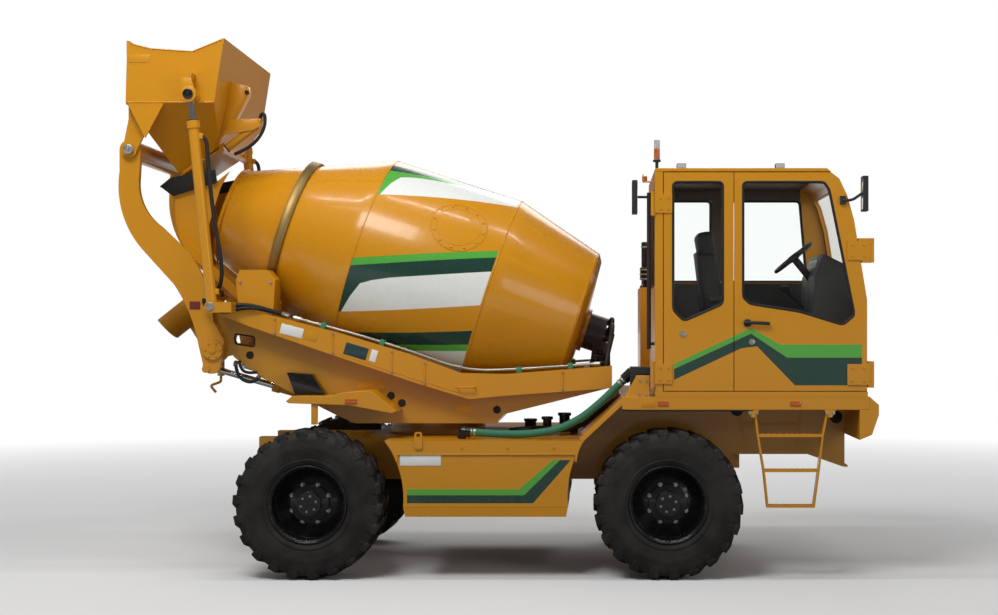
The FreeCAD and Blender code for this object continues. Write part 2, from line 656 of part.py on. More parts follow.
def suction_hose():
    """The water suction hose, held by the tank's elbow and by the pump's inlet."""
    points = [V(*p) for p in HOSE_ROUTE]
    return bent_bar(points, HOSE_R)


def deck_fittings():
    """The tank's outlet elbow and the filler caps and filters on the deck."""
    start, ahead = V(*HOSE_ROUTE[0]), V(*HOSE_ROUTE[1])
    along = (start - ahead).normalize()
    socket = bar(start, start + along * 60, 40)
    drop = bar(start + along * 60, V(start.x - 75, start.y, DECK_TOP), 34)
    ball = Part.makeSphere(40, start + along * 60)
    elbow = fused(socket, drop, ball).cut(box(-400, 400, -1400, -600, 0, DECK_TOP))
    caps = [fused(post(x, y, DECK_TOP, z, r), post(x, y, z - 24, z, r + 12))
            for x, y, z, r in ((420, -180, 1190, 36), (560, -60, 1215, 44), (640, -250, 1170, 34))]
    return Part.makeCompound([elbow] + caps)


# ---- turret -------------------------------------------------------------------------------------
BEAM_UNDER = [(948, 1449), (89, 1388), (-171, 1362), (-563, 1480), (-1190, 1690), (-1892, 1931), (-2134, 2025)]
BEAM_TOP = [(-2173, 2141), (-1987, 2088), (-1190, 1881), (-640, 1716), (-239, 1567), (115, 1559), (948, 1622)]


def side_plate():
    """One side plate of the turret, from the slew ring out to the loader's pivot."""
    lower = [(-2222, 2063), (-2165, 1830), (-2040, 1682), (-1826, 1524), (-1398, 1310), (-1207, 1215),
             (-1090, BASE_BOTTOM), (21, BASE_BOTTOM), (101, 1238)]
    body = plate(lower + BEAM_UNDER, PLATE_IN, PLATE_IN + PLATE_T)
    ax, az = ARM_PIVOT
    boss = cross_bar(ARM_PIVOT, PLATE_IN, PLATE_IN + PLATE_T, 100)
    neck = plate([(ax - 60, az + 60), (-2222, 2063), (-2060, 1990), (ax + 180, az - 30), (ax + 60, az - 60)],
                 PLATE_IN, PLATE_IN + PLATE_T)
    slot = plate(rounded([(-2040, 1795), (-2040, 1875), (-1885, 1850), (-1885, 1770)], 38),
                 PLATE_IN - 1, PLATE_IN + PLATE_T + 1)
    whole = fused(body, boss, neck)
    return whole.cut(slot).cut(cross_bar(ARM_PIVOT, PLATE_IN - 1, PLATE_IN + PLATE_T + 1, SHAFT_R + FIT))


def turret_base():
    """Side plates, floor, cross tubes and the bracket that carries the swinging chute."""
    floor = box(-1090, 21, -PLATE_IN, PLATE_IN, BASE_BOTTOM, BASE_BOTTOM + 25)
    ring = Part.makeCylinder(RING_R - 10, RING_H, V(SLEW_X, 0, DECK_TOP + RING_H + FIT))
    tail = cross_bar((-1830, 1778), -PLATE_IN, PLATE_IN, 45)
    front = box(0, 40, -PLATE_IN, PLATE_IN, BASE_BOTTOM, FRONT_WALL_TOP)
    lugs = []
    for side in (1, -1):
        for y in (LIFT_Y - 75, LIFT_Y + 45):
            y0, y1 = sorted((side * y, side * (y + 30)))
            lx, lz = LIFT_BASE
            lug = fused(box(lx - 50, lx + 50, y0, y1, BASE_BOTTOM, lz), cross_bar(LIFT_BASE, y0, y1, 50))
            lugs.append(lug.cut(cross_bar(LIFT_BASE, y0 - 1, y1 + 1, PIN_R + FIT)))
    floor = floor.cut(box(-1200, -1000, -LIFT_Y - 45, -LIFT_Y + 45, BASE_BOTTOM - 1, BASE_BOTTOM + 30))
    floor = floor.cut(box(-1200, -1000, LIFT_Y - 45, LIFT_Y + 45, BASE_BOTTOM - 1, BASE_BOTTOM + 30))
    left = side_plate()
    return fused(left, mirrored(left), floor, ring, tail, front, *lugs)


def cradle():
    """The sloping box beams beside the drum, their cross members and the roller brackets."""
    beam = plate(BEAM_UNDER + BEAM_TOP, BEAM_IN, BEAM_OUT)
    ears = tilt_ears()
    rear = box(-1960, -1840, -BEAM_IN, BEAM_IN, 1960, CHUTE_SEAT)
    front = box(720, 948, -BEAM_IN, BEAM_IN, 1470, 1590)
    bracket = box(CHUTE_X - 60, -1900, -60, 60, CHUTE_SEAT - 75, CHUTE_SEAT - 10)
    bush = post(CHUTE_X, 0, CHUTE_SEAT - 105, CHUTE_SEAT, 60)
    neck = fused(bracket, bush).cut(post(CHUTE_X, 0, 1800, 2100, 30 + FIT))
    half = fused(beam, ears)
    return fused(half, mirrored(half), rear, front, neck)


def tilt_ears():
    """The clevis on the beam's tail that holds the tilt cylinder's foot."""
    x, z = TILT_BASE
    clear = TILT_R + 5
    shapes = [box(-2120, -1990, BEAM_OUT, TILT_Y + clear + 28, 2040, 2120)]
    for y in (TILT_Y - clear - 28, TILT_Y + clear):
        ear = plate([(x, z - 45), (-2080, 2040), (-2080, 2120), (x, z + 45)], y, y + 28)
        shapes.append(fused(ear, cross_bar(TILT_BASE, y, y + 28, 45)))
    ears = fused(*shapes)
    gap = box(-2250, x + 66, TILT_Y - clear, TILT_Y + clear, 1900, 2300)
    return ears.cut(gap).cut(cross_bar(TILT_BASE, BEAM_OUT, TILT_Y + 90, PIN_R + FIT))


def rear_wings():
    """The wings over the rear wheels, each a folded sheet on a bracket from the turret's side plate."""
    outline = [(-1571, 1355), (-1525, 1394), (-1238, 1394), (-1122, 1425), (-913, 1440), (-711, 1278),
               (-758, 1262), (-1083, 1324), (-1548, 1340)]
    outer = PLATE_IN + PLATE_T
    body = plate(outline, outer, 1060)
    rear = [(-1598, 1569), (-1411, 1554), (-1293, 1380), (-1525, 1370)]
    stay = plate(rear, outer, outer + 150)
    leg = box(-1378, -1331, 1000, 1040, DECK_TOP + 115, 1345)
    half = fused(body, stay, leg)
    return sided(half)


def drum_point(along, out=0.0):
    """A point from the drum's reference, along its axis towards the gearbox and out square to it, upwards."""
    axis = V(math.cos(DRUM_TILT), 0, -math.sin(DRUM_TILT))
    up = V(math.sin(DRUM_TILT), 0, math.cos(DRUM_TILT))
    return DRUM_REF + axis * along + up * out


def drum_axis():
    """The drum's axis, towards the gearbox."""
    return drum_point(1) - drum_point(0)


def cone_radius(along):
    """The drum's outer radius on its rear cone."""
    return DRUM_R + (DRUM_R - MOUTH_R) * along / REAR_CONE


def drum():
    """The mixing drum: two cones and a cylinder, hollow, with the roller ring and its mouth band."""
    w = DRUM_WALL
    path = [(MOUTH_R, -REAR_CONE), (DRUM_R, 0), (DRUM_R, DRUM_BODY), (DRUM_END_R, DRUM_BODY + FRONT_CONE),
            (DRUM_END_R - 60, DRUM_BODY + FRONT_CONE + 35), (180, DRUM_BODY + FRONT_CONE + 60),
            (180, DRUM_BODY + FRONT_CONE + 90), (0, DRUM_BODY + FRONT_CONE + 90),
            (0, DRUM_BODY + FRONT_CONE + 90 - 50), (170, DRUM_BODY + FRONT_CONE + 40),
            (DRUM_END_R - 70, DRUM_BODY + FRONT_CONE + 20), (DRUM_END_R - w, DRUM_BODY + FRONT_CONE - w),
            (DRUM_R - w, DRUM_BODY - w / 2), (DRUM_R - w, w / 2), (MOUTH_R - w, -REAR_CONE)]
    shell = turned(path, drum_point(0), drum_axis())
    at = -RING_AT
    ring = turned([(cone_radius(at - RING_W / 2) - 8, at - RING_W / 2), (RING_OUT, at - RING_W / 2),
                   (RING_OUT, at + RING_W / 2), (cone_radius(at + RING_W / 2) - 8, at + RING_W / 2)],
                  drum_point(0), drum_axis())
    band = turned([(MOUTH_R - 2, -REAR_CONE), (MOUTH_R + 14, -REAR_CONE), (MOUTH_R + 30, -REAR_CONE + 30),
                   (MOUTH_R + 6, -REAR_CONE + 30)], drum_point(0), drum_axis())
    return fused(shell, ring, band)


def roller_place(side):
    """The centre of a drum roller: level with the ring's flank, outside it."""
    down = drum_point(-RING_AT, -(RING_OUT + ROLLER_R + FIT) * math.cos(ROLLER_ANGLE))
    return V(down.x, side * (RING_OUT + ROLLER_R + FIT) * math.sin(ROLLER_ANGLE), down.z)


def roller(side):
    """A drum roller with its shaft."""
    centre = roller_place(side)
    axis = drum_axis()
    wheel = bar(centre - axis * 45, centre + axis * 45, ROLLER_R)
    shaft = bar(centre - axis * 120, centre + axis * 120, 30)
    return fused(wheel, shaft)


def roller_brackets():
    """The boxes on the beams that hold the drum rollers, open towards the drum."""
    axis = drum_axis()
    centre = roller_place(1)
    outline = [(-1985, 2060), (-1720, 1990), (-1700, 2300), (-1760, 2377), (-1979, 2377), (-2010, 2300)]
    body = plate(outline, centre.y - 60, 810)
    well = bar(centre - axis * 60, centre + axis * 60, ROLLER_R + 12)
    inboard = turned([(0, -RING_AT - 75), (RING_OUT + 25, -RING_AT - 75), (RING_OUT + 25, -RING_AT + 75),
                      (0, -RING_AT + 75)], drum_point(0), axis)
    cone = turned([(0, -REAR_CONE), (MOUTH_R + 60, -REAR_CONE), (DRUM_R + 60, 0), (0, 0)],
                  drum_point(0), axis)
    bore = bar(centre - axis * 300, centre + axis * 300, 30 + FIT)
    under = plate(BEAM_UNDER + BEAM_TOP, 0, 900)
    half = body.cut(well).cut(inboard).cut(cone).cut(bore).cut(under)
    solids = sorted(half.Solids, key=lambda s: -s.Volume)
    return sided(solids[0])


def drum_drive():
    """The drum's gearbox and hydraulic motor, on a pedestal from the cradle's front cross member."""
    start = DRUM_BODY + FRONT_CONE + 90 + FIT
    axis = drum_axis()
    box_end = drum_point(start + 150)
    gearbox = bar(drum_point(start), box_end, 150)
    motor = bar(box_end, drum_point(start + 190), 70)
    foot = plate([(770, 1590), (940, 1590), (940, 1780), (800, 1860)], -130, 130)
    return fused(gearbox, motor, foot)


# ---- hopper and chute ---------------------------------------------------------------------------
HOPPER_HALF = 430.0
HOPPER_RIM = ((-2660.0, 3030.0), (-2250.0, 3100.0))


def hopper():
    """The feed hopper in front of the drum's mouth and the discharge guide under it, with its stays."""
    t = 8.0
    side = [*HOPPER_RIM, (-2140, 3190), (-2215, 3060), (-2270, 2880), (-2345, 2640),
            (-2385, 2450), (-2465, 2454), ((-2562, 2700), (-2583, 2967))]
    cheek = plate(side, HOPPER_HALF - t, HOPPER_HALF)
    front = plate([HOPPER_RIM[0], (-2583, 2967), ((-2562, 2700), (-2465, 2454)), (-2465 + t, 2454),
                   ((-2562 + t, 2700), (-2583 + t, 2967)), (-2652, 3030)], -HOPPER_HALF, HOPPER_HALF)
    stay = plate([(-2545, 2640), (-2470, 2610), (-1900, 2075), (-1900, CHUTE_SEAT), (-1960, CHUTE_SEAT),
                  (-2480, 2530)], HOPPER_HALF - t, HOPPER_HALF + 16)
    half = fused(cheek, stay)
    return fused(half, mirrored(half), front)


def hopper_lip():
    """The rubber collar round the hopper's rim."""
    rim_low, rim_high = HOPPER_RIM
    outer = plate([rim_low, rim_high, (rim_high[0] - 12, rim_high[1] + 63), (rim_low[0], rim_low[1] + 36),
                   (rim_low[0] - 40, rim_low[1] + 40)], -HOPPER_HALF - 20, HOPPER_HALF + 20)
    inner = box(rim_low[0] + 25, -2000, 8 - HOPPER_HALF, HOPPER_HALF - 8, 2900, 3300)
    return outer.cut(inner)


def chute():
    """The swinging discharge chute with its post, screw jack and crank."""
    start, end = (-2355.0, 2330.0), (-2790.0, 1985.0)
    length = math.dist(start, end)
    axis = V((end[0] - start[0]) / length, 0, (end[1] - start[1]) / length)
    lower = V(axis.z, 0, -axis.x)
    lower = lower if lower.z < 0 else lower * -1
    origin = V(start[0], 0, start[1])

    def half_pipe(radius):
        a, b = origin + V(0, radius, 0), origin - V(0, radius, 0)
        arc = Part.Arc(a, origin + lower * radius, b).toShape()
        return Part.Face(Part.Wire([arc, Part.makeLine(b, a)])).extrude(axis * length)

    trough = half_pipe(CHUTE_R).cut(half_pipe(CHUTE_R - 8))
    pivot = post(CHUTE_X, 0, 1520, 2150, 30)
    collar = post(CHUTE_X, 0, CHUTE_SEAT + FIT, CHUTE_SEAT + 22, 60)
    pivot = pivot.cut(half_pipe(CHUTE_R - 4))
    jack_top = origin + axis * (length * 0.72) + lower * (CHUTE_R - 6)
    jack = bar(V(CHUTE_X, 0, 1545), jack_top, 20)
    crank = bent_bar([V(CHUTE_X, 0, 1530), V(CHUTE_X, 0, 1470), V(-2400, 0, 1438), V(-2351, 0, 1381)], 11, 0.3)
    return fused(trough, pivot, collar, jack.cut(half_pipe(CHUTE_R - 4)), crank)


# ---- loader -------------------------------------------------------------------------------------
def arms():
    """The two curved loader arms on their common shaft, with the lift levers."""
    bx, bz = BUCKET_PIVOT
    profile = [(-2927, bz), (-2927, 3150), ((-2897, 2800), (-2732, 2521)), (-2500, 2265),
               ((-2375, 2030), (-2305, 1780)), (-2272, 1640), ((-2215, 1560), (-2135, 1612)), (-2105, 1820),
               (-2190, 1975), ((-2262, 2300), (-2385, 2515)), (-2600, 2718), ((-2740, 2890), (-2772, 3110)),
               (-2761, bz), ((bx, bz + 83), (-2927, bz))]
    arm = plate(profile, ARM_IN, ARM_IN + ARM_T)
    arm = arm.cut(cross_bar(BUCKET_PIVOT, ARM_IN - 1, ARM_IN + ARM_T + 1, PIN_R + FIT))
    boss = cross_bar(ARM_PIVOT, ARM_IN + ARM_T, ARM_IN + ARM_T + 22, 78)
    eye = at_angle(ARM_PIVOT, LEVER_ANGLE, LEVER)
    y0 = LIFT_Y + 32
    lever = fused(plate([at_angle(ARM_PIVOT, LEVER_ANGLE - 1.57, 60), at_angle(eye, LEVER_ANGLE - 1.57, 34),
                         at_angle(eye, LEVER_ANGLE + 1.57, 34), at_angle(ARM_PIVOT, LEVER_ANGLE + 1.57, 60)],
                        y0, y0 + 30),
                  cross_bar(eye, y0, y0 + 30, 34), cross_bar(ARM_PIVOT, y0, y0 + 30, 60))
    cap = cross_bar(eye, ARM_IN + ARM_T, ARM_IN + ARM_T + 12, 30)
    shaft = cross_bar(ARM_PIVOT, -ARM_IN - 5, ARM_IN + 5, SHAFT_R)
    half = fused(arm, boss, cap)
    return fused(half, mirrored(half), shaft, lever, mirrored(lever))


def bucket_pins():
    """The tube between the arms' ends, with the two pins on which the bucket hangs."""
    end = ARM_IN + ARM_T + 50
    tube = cross_bar(BUCKET_PIVOT, FIT - ARM_IN, ARM_IN - FIT, BUCKET_TUBE_R)
    return fused(tube, cross_bar(BUCKET_PIVOT, -end, end, PIN_R))


def bucket():
    """The loading bucket: open box above, funnel below, pivot lugs and the tilt cylinders' brackets."""
    lip, heel = (-2833.0, 4142.0), (-2845.0, 3680.0)
    back_top, back_low = (-2077.0, 4181.0), (-2155.0, 3680.0)
    rim_line = [lip, (-2640, 4100), (-2327, 4080), back_top]
    half, t = BUCKET_HALF, BUCKET_T
    outer = plate([heel] + rim_line + [back_low], -half, half)
    hollow_path = [(heel[0] + t, 3600), (lip[0] + t, 4300), (back_top[0] - t, 4300), (back_low[0] - t, 3600)]
    body = outer.cut(plate(hollow_path, -half + t, half - t))
    out_left, out_right = (-2555.0, 3172.0), GATE_HINGE
    funnel = funnel_solid(heel, back_low, out_left, out_right, half, OUTLET_HALF, 0)
    hollow = funnel_solid(heel, back_low, out_left, out_right, half, OUTLET_HALF, t)
    funnel = funnel.cut(hollow)
    bx, bz = BUCKET_PIVOT
    y0 = ARM_IN + ARM_T + GAP
    lug = plate([(bx - 40, bz + 45), (-2845, 3560), (-2845, 3700), (-2600, 3700), (bx + 60, bz - 10)],
                y0, y0 + 30)
    lug = fused(lug, cross_bar(BUCKET_PIVOT, y0, y0 + 30, 62))
    tie = box(-2845, -2620, y0, half - t / 2, 3664, 3700)
    cheek = plate([(-2841, 3690), (-2537, 3690), (-2693, 3402)], half - t, half)
    web = box(-2760, -2744, y0 + 20, half - 4, 3560, 3690)
    lug = lug.cut(cross_bar(BUCKET_PIVOT, y0 - 1, y0 + 31, PIN_R + FIT))
    side = fused(lug, tie, cheek, web, tilt_clevis(), gate_ears())
    edge = plate([(lip[0] - 4, lip[1] - 90), (lip[0] - 4, lip[1] + 18), (lip[0] + 14, lip[1] + 18),
                  (lip[0] + 14, lip[1] - 90)], -half, half)
    return fused(body, funnel, side, mirrored(side), edge)


def funnel_solid(left, right, out_left, out_right, half, out_half, t):
    """A tapering block from a level rectangle down to a slanted one; t makes the block of its inside."""
    grow = 1 if t else 0
    top = [V(left[0] + t, -half + t, left[1] + grow), V(right[0] - t, -half + t, right[1] + grow),
           V(right[0] - t, half - t, right[1] + grow), V(left[0] + t, half - t, left[1] + grow)]
    low = [V(out_left[0] + t, -out_half + t, out_left[1] - 2 * grow),
           V(out_right[0] - t, -out_half + t, out_right[1] - 2 * grow),
           V(out_right[0] - t, out_half - t, out_right[1] - 2 * grow),
           V(out_left[0] + t, out_half - t, out_left[1] - 2 * grow)]
    loops = [Part.makePolygon(points + [points[0]]) for points in (top, low)]
    return Part.makeLoft(loops, True, True)


def tilt_clevis():
    """The bracket on the bucket's side that the tilt rod's eye fits in, closed over the top."""
    x, z = TILT_EYE
    inner = cross_bar(TILT_EYE, BUCKET_HALF, TILT_Y - 37, 58)
    outer = cross_bar(TILT_EYE, TILT_Y + 37, TILT_Y + 60, 58)
    root = plate([(x - 58, z), (x - 58, z + 150), (x - 20, z + 175), (x + 30, z + 165), (x + 5, z + 75),
                  (x - 30, z + 66)], BUCKET_HALF, TILT_Y + 60)
    strap = plate([(x - 58, z), (x - 58, z + 120), (x + 20, z + 120), (x + 58, z)], TILT_Y + 37, TILT_Y + 60)
    return fused(inner, root, strap, outer)


def gate_frame():
    """The gate's plane: the hinge axis, and unit vectors towards the far lip and out under the outlet."""
    length = math.dist(GATE_HINGE, GATE_LIP)
    along = ((GATE_LIP[0] - GATE_HINGE[0]) / length, (GATE_LIP[1] - GATE_HINGE[1]) / length)
    out = (-along[1], along[0]) if along[0] < 0 else (along[1], -along[0])
    axis = (GATE_HINGE[0] + out[0] * 30, GATE_HINGE[1] + out[1] * 30)
    return axis, along, out


def bucket_gate():
    """The flap that closes the bucket's outlet, with its hinge tube and the pin through it."""
    axis, _, out = gate_frame()
    path = [(p[0] + out[0] * d, p[1] + out[1] * d)
            for p, d in ((GATE_HINGE, 8), (GATE_LIP, 8), (GATE_LIP, 22), (GATE_HINGE, 22))]
    half = OUTLET_HALF - 20
    return fused(plate(path, -half, half), cross_bar(axis, -half, half, 20),
                 cross_bar(axis, -OUTLET_HALF - 6, OUTLET_HALF + 6, 10))


def gate_ears():
    """The ears on the funnel that hold the ends of the gate's pin."""
    axis, along, out = gate_frame()
    root = (GATE_HINGE[0] - out[0] * 10, GATE_HINGE[1] - out[1] * 10)
    back = (root[0] - along[0] * 60, root[1] - along[1] * 60)
    ahead = (axis[0] - along[0] * 20, axis[1] - along[1] * 20)
    y0, y1 = OUTLET_HALF - 14, OUTLET_HALF + 6
    ear = fused(cross_bar(axis, y0, y1, 24), plate([root, back, ahead, axis], y0, y1))
    return ear.cut(cross_bar(axis, y0 - 1, y1 + 1, 10 + FIT))


def lift_direction():
    """The unit vector from the lift cylinder's foot to its rod's eye."""
    eye = at_angle(ARM_PIVOT, LEVER_ANGLE, LEVER)
    length = math.dist(LIFT_BASE, eye)
    return V((eye[0] - LIFT_BASE[0]) / length, 0, (eye[1] - LIFT_BASE[1]) / length), length


def cylinder_barrel(foot, y, direction, length, radius, bore):
    """A cylinder's tube with its foot eye, gland and pin, bored for the rod."""
    start = V(foot[0], y, foot[1])
    tube = bar(start + direction * 30, start + direction * length, radius)
    gland = bar(start + direction * (length - 60), start + direction * length, radius + 8)
    eye = cross_bar(foot, y - 30, y + 30, 42)
    pin = cross_bar(foot, y - 78, y + 78, PIN_R)
    return fused(tube, gland, eye, pin).cut(bar(start + direction * 90, start + direction * (length + 5), bore))


def cylinder_rod(foot, y, direction, from_foot, to_eye, radius, eye_radius, eye_half):
    """A cylinder's rod with its piston end and its eye."""
    start = V(foot[0], y, foot[1])
    rod = bar(start + direction * from_foot, start + direction * to_eye, radius)
    tip = start + direction * to_eye
    eye = cross_bar((tip.x, tip.z), y - eye_half, y + eye_half, eye_radius)
    return fused(rod, eye)


def lift_barrels():
    """The barrels of the two lift cylinders."""
    direction, _ = lift_direction()
    return sided(cylinder_barrel(LIFT_BASE, LIFT_Y, direction, LIFT_BARREL, 40, 25 + FIT))


def lift_rods():
    """The rods of the two lift cylinders."""
    direction, length = lift_direction()
    return sided(cylinder_rod(LIFT_BASE, LIFT_Y, direction, 320, length, 25, 32, 23))


def tilt_direction():
    """The unit vector from the tilt cylinder's foot to its rod's eye."""
    length = math.dist(TILT_BASE, TILT_EYE)
    return V((TILT_EYE[0] - TILT_BASE[0]) / length, 0, (TILT_EYE[1] - TILT_BASE[1]) / length), length


def tilt_barrels():
    """The barrels of the two tilt cylinders."""
    direction, _ = tilt_direction()
    return sided(cylinder_barrel(TILT_BASE, TILT_Y, direction, TILT_BARREL, TILT_R, 25 + FIT))


def tilt_rods():
    """The rods of the two tilt cylinders."""
    direction, length = tilt_direction()
    return sided(cylinder_rod(TILT_BASE, TILT_Y, direction, 600, length, 25, 45, 30))


# ---- nodes --------------------------------------------------------------------------------------
def cab_with_hinges():
    """The cab's walls with the door hinge lugs that are welded to them."""
    return fused(cab_shell(), *hinge_brackets())


def nodes():
    """Every node's name and shape."""
    made = {
        "chassis_frame": chassis_frame(), "axle_housings": axle_housings(), "side_tanks": side_tanks(),
        "cab_platform": cab_platform(), "front_guard": front_guard(), "ladder": ladder(),
        "cab_shell": cab_with_hinges(), "cab_roof": cab_roof(), "cab_glass": cab_glass(),
        "door_front": door_front(), "door_front_glass": door_pane(FRONT_WINDOW),
        "door_rear": door_rear(), "door_rear_glass": door_pane(REAR_WINDOW),
        "mirror_front": mirror_front(), "mirror_rear": mirror_rear(), "lamps": lamps(),
        "cab_console": cab_console(), "seat": seat(), "engine_block": engine_block(),
        "engine_housing": engine_housing(), "hood": hood(), "air_stack": air_stack(),
        "water_pump": water_pump(), "suction_hose": suction_hose(), "deck_fittings": deck_fittings(),
        "turret_base": turret_base(), "cradle": cradle(), "rear_wings": rear_wings(),
        "roller_brackets": roller_brackets(), "drum": drum(), "drum_drive": drum_drive(),
        "roller_left": roller(1), "roller_right": roller(-1), "hopper": hopper(), "hopper_lip": hopper_lip(),
        "chute": chute(), "arms": arms(), "bucket_pins": bucket_pins(), "bucket": bucket(),
        "bucket_gate": bucket_gate(), "lift_barrels": lift_barrels(), "lift_rods": lift_rods(),
        "tilt_barrels": tilt_barrels(), "tilt_rods": tilt_rods(),
    }
    for end, x in (("front", WHEELBASE / 2), ("rear", -WHEELBASE / 2)):
        for hand, side in (("left", 1), ("right", -1)):
            made[f"knuckle_{end}_{hand}"] = knuckle(x, side)
            made[f"rim_{end}_{hand}"] = rim(x, side)
            made[f"tyre_{end}_{hand}"] = tyre(x, side)
    return made


def main():
    """Write one STEP file for each node."""
    os.makedirs("parts", exist_ok=True)
    for name, shape in nodes().items():
        shape.exportStep(os.path.join("parts", name + ".step"))
        print(f"{name:20s} solids {len(shape.Solids)}  valid {shape.isValid()}  "
              f"volume {shape.Volume / 1e9:.4f} m3")


main()
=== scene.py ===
"""Looks of a self-loading concrete mixer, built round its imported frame.

Lengths are in metres. +X is forward, +Y is the vehicle's left and +Z is up, as in the frame.
"""
import json
import logging
import math
from dataclasses import dataclass
from enum import Enum
from typing import Iterable, Optional, Sequence

import bmesh
import bpy
from mathutils import Matrix, Vector


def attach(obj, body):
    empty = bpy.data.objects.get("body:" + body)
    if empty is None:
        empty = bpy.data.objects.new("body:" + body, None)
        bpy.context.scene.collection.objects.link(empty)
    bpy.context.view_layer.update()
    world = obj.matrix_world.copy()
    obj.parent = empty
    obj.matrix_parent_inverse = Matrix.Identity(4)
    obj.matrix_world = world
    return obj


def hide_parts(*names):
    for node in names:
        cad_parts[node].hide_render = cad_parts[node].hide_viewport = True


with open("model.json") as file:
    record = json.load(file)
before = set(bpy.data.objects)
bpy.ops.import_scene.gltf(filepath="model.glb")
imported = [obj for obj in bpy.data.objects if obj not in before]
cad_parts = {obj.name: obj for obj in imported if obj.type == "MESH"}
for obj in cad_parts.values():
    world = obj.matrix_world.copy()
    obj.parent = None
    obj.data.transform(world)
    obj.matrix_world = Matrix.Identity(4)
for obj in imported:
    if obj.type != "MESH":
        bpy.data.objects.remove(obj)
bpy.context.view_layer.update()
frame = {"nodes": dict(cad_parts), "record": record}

LOG = logging.getLogger("mixer")
Point = tuple[float, float, float]
Spots = Sequence[tuple[float, float]]
Socket = bpy.types.NodeSocket

WHEELBASE = 2.75
TRACK = 2.06
TYRE_R = 0.575
TYRE_W = 0.44
NEAR = -1.22
BEAM_FACE = -0.85
PLATE_FACE = -0.7
ARM_FACE = -0.8
BUCKET_FACE = -0.92
TANK_FACE = -1.21
SEAT_Y = -0.445
DRUM_HUB = (-1.08, 0.0, 2.49)
DRUM_TILT = math.radians(18)
DRUM_AXIS = (math.cos(DRUM_TILT), 0.0, -math.sin(DRUM_TILT))
DRUM_UP = (math.sin(DRUM_TILT), 0.0, math.cos(DRUM_TILT))
TILT_FOOT = Vector((-2.155, -0.985, 2.084))
TILT_EYE = Vector((-2.325, -0.985, 3.727))
OUT = (0, -1, 0)
UP = (0, 0, 1)
WHITE = (1.0, 1.0, 1.0)


class Side(Enum):
    """Which side of the vehicle a piece stands on."""

    LEFT = 1
    RIGHT = -1


class End(Enum):
    """Which axle a wheel stands on."""

    FRONT = 1
    REAR = -1


# ---- node trees
class Sheet:
    """A node tree in the making, with short calls for its nodes and links."""

    def __init__(self, tree: bpy.types.NodeTree) -> None:
        """Keep the tree that the nodes go into."""
        self.tree = tree

    def node(self, kind: str, inputs: Optional[dict] = None, **settings: object) -> bpy.types.Node:
        """Add a node.

        Args:
            kind: its type's name, for a shader node without "ShaderNode".
            inputs: values or sockets for its inputs, by name or number.
            settings: its attributes.

        Returns:
            The new node.
        """
        made = self.tree.nodes.new(kind if kind.startswith("NodeGroup") else "ShaderNode" + kind)
        for name, value in settings.items():
            setattr(made, name, value)
        for key, value in (inputs or {}).items():
            self.feed(made.inputs[key], value)
        return made

    def feed(self, socket: Socket, value: object) -> None:
        """Link a socket to an output, or set its own value."""
        if isinstance(value, Socket):
            self.tree.links.new(value, socket)
        elif isinstance(value, (tuple, list)) and socket.type == "RGBA" and len(value) == 3:
            socket.default_value = (*value, 1.0)
        else:
            socket.default_value = value

    def math(self, operation: str, first: object, second: object = 0.0, clamp: bool = False) -> Socket:
        """A Math node's result."""
        return self.node("Math", {0: first, 1: second}, operation=operation, use_clamp=clamp).outputs[0]

    def times(self, first: object, second: object) -> Socket:
        """Two values multiplied."""
        return self.math("MULTIPLY", first, second)

    def less(self, first: object, second: object) -> Socket:
        """One value less another."""
        return self.math("SUBTRACT", first, second)

    def vector(self, operation: str, inputs: dict, output: str = "Vector") -> Socket:
        """A Vector Math node's result."""
        return self.node("VectorMath", inputs, operation=operation).outputs[output]

    def mix(self, factor: object, first: object, second: object) -> Socket:
        """A mix of two colours."""
        return self.node("Mix", {0: factor, 6: first, 7: second}, data_type="RGBA").outputs[2]

    def ramp(self, value: object, low: object, high: object, to_low: float = 0.0, to_high: object = 1.0) -> Socket:
        """A clamped linear map of a value."""
        return self.node("MapRange", {0: value, 1: low, 2: high, 3: to_low, 4: to_high}, clamp=True).outputs[0]

    def noise(self, vector: object, scale: float, detail: float) -> Socket:
        """A cloudy value."""
        return self.node("TexNoise", {"Vector": vector, "Scale": scale, "Detail": detail}).outputs[0]

    def place(self) -> Socket:
        """The object coordinates, in metres."""
        return self.node("TexCoord").outputs["Object"]

    def split(self, vector: object) -> tuple[Socket, ...]:
        """The three parts of a vector."""
        return tuple(self.node("SeparateXYZ", {0: vector}).outputs)


class GroupKind(Enum):
    """The shared shader effects."""

    FILM = "Paint Film"
    GRAIN = "Moulded Grain"
    BENT_LINE = "Bent Line"
    BAND = "Soft Band"


def new_group(kind: GroupKind, inputs: dict, outputs: Sequence[str]) -> tuple[Sheet, object, object]:
    """Start a shader node group with named sockets.

    Args:
        kind: which effect the group holds.
        inputs: each input's name and default: None for a vector, four numbers for a colour.
        outputs: each output's name. A Colour is a colour, and the others are values.

    Returns:
        The group's sheet, the sockets that it is given and those that it results in.
    """
    tree = bpy.data.node_groups.new(kind.value, "ShaderNodeTree")
    for name, default in inputs.items():
        form = "Vector" if default is None else "Color" if isinstance(default, tuple) else "Float"
        socket = tree.interface.new_socket(name=name, in_out="INPUT", socket_type="NodeSocket" + form)
        if default is not None:
            socket.default_value = default
    for name in outputs:
        form = "Color" if name == "Colour" else "Float"
        tree.interface.new_socket(name=name, in_out="OUTPUT", socket_type="NodeSocket" + form)
    sheet = Sheet(tree)
    return sheet, sheet.node("NodeGroupInput").outputs, sheet.node("NodeGroupOutput").inputs


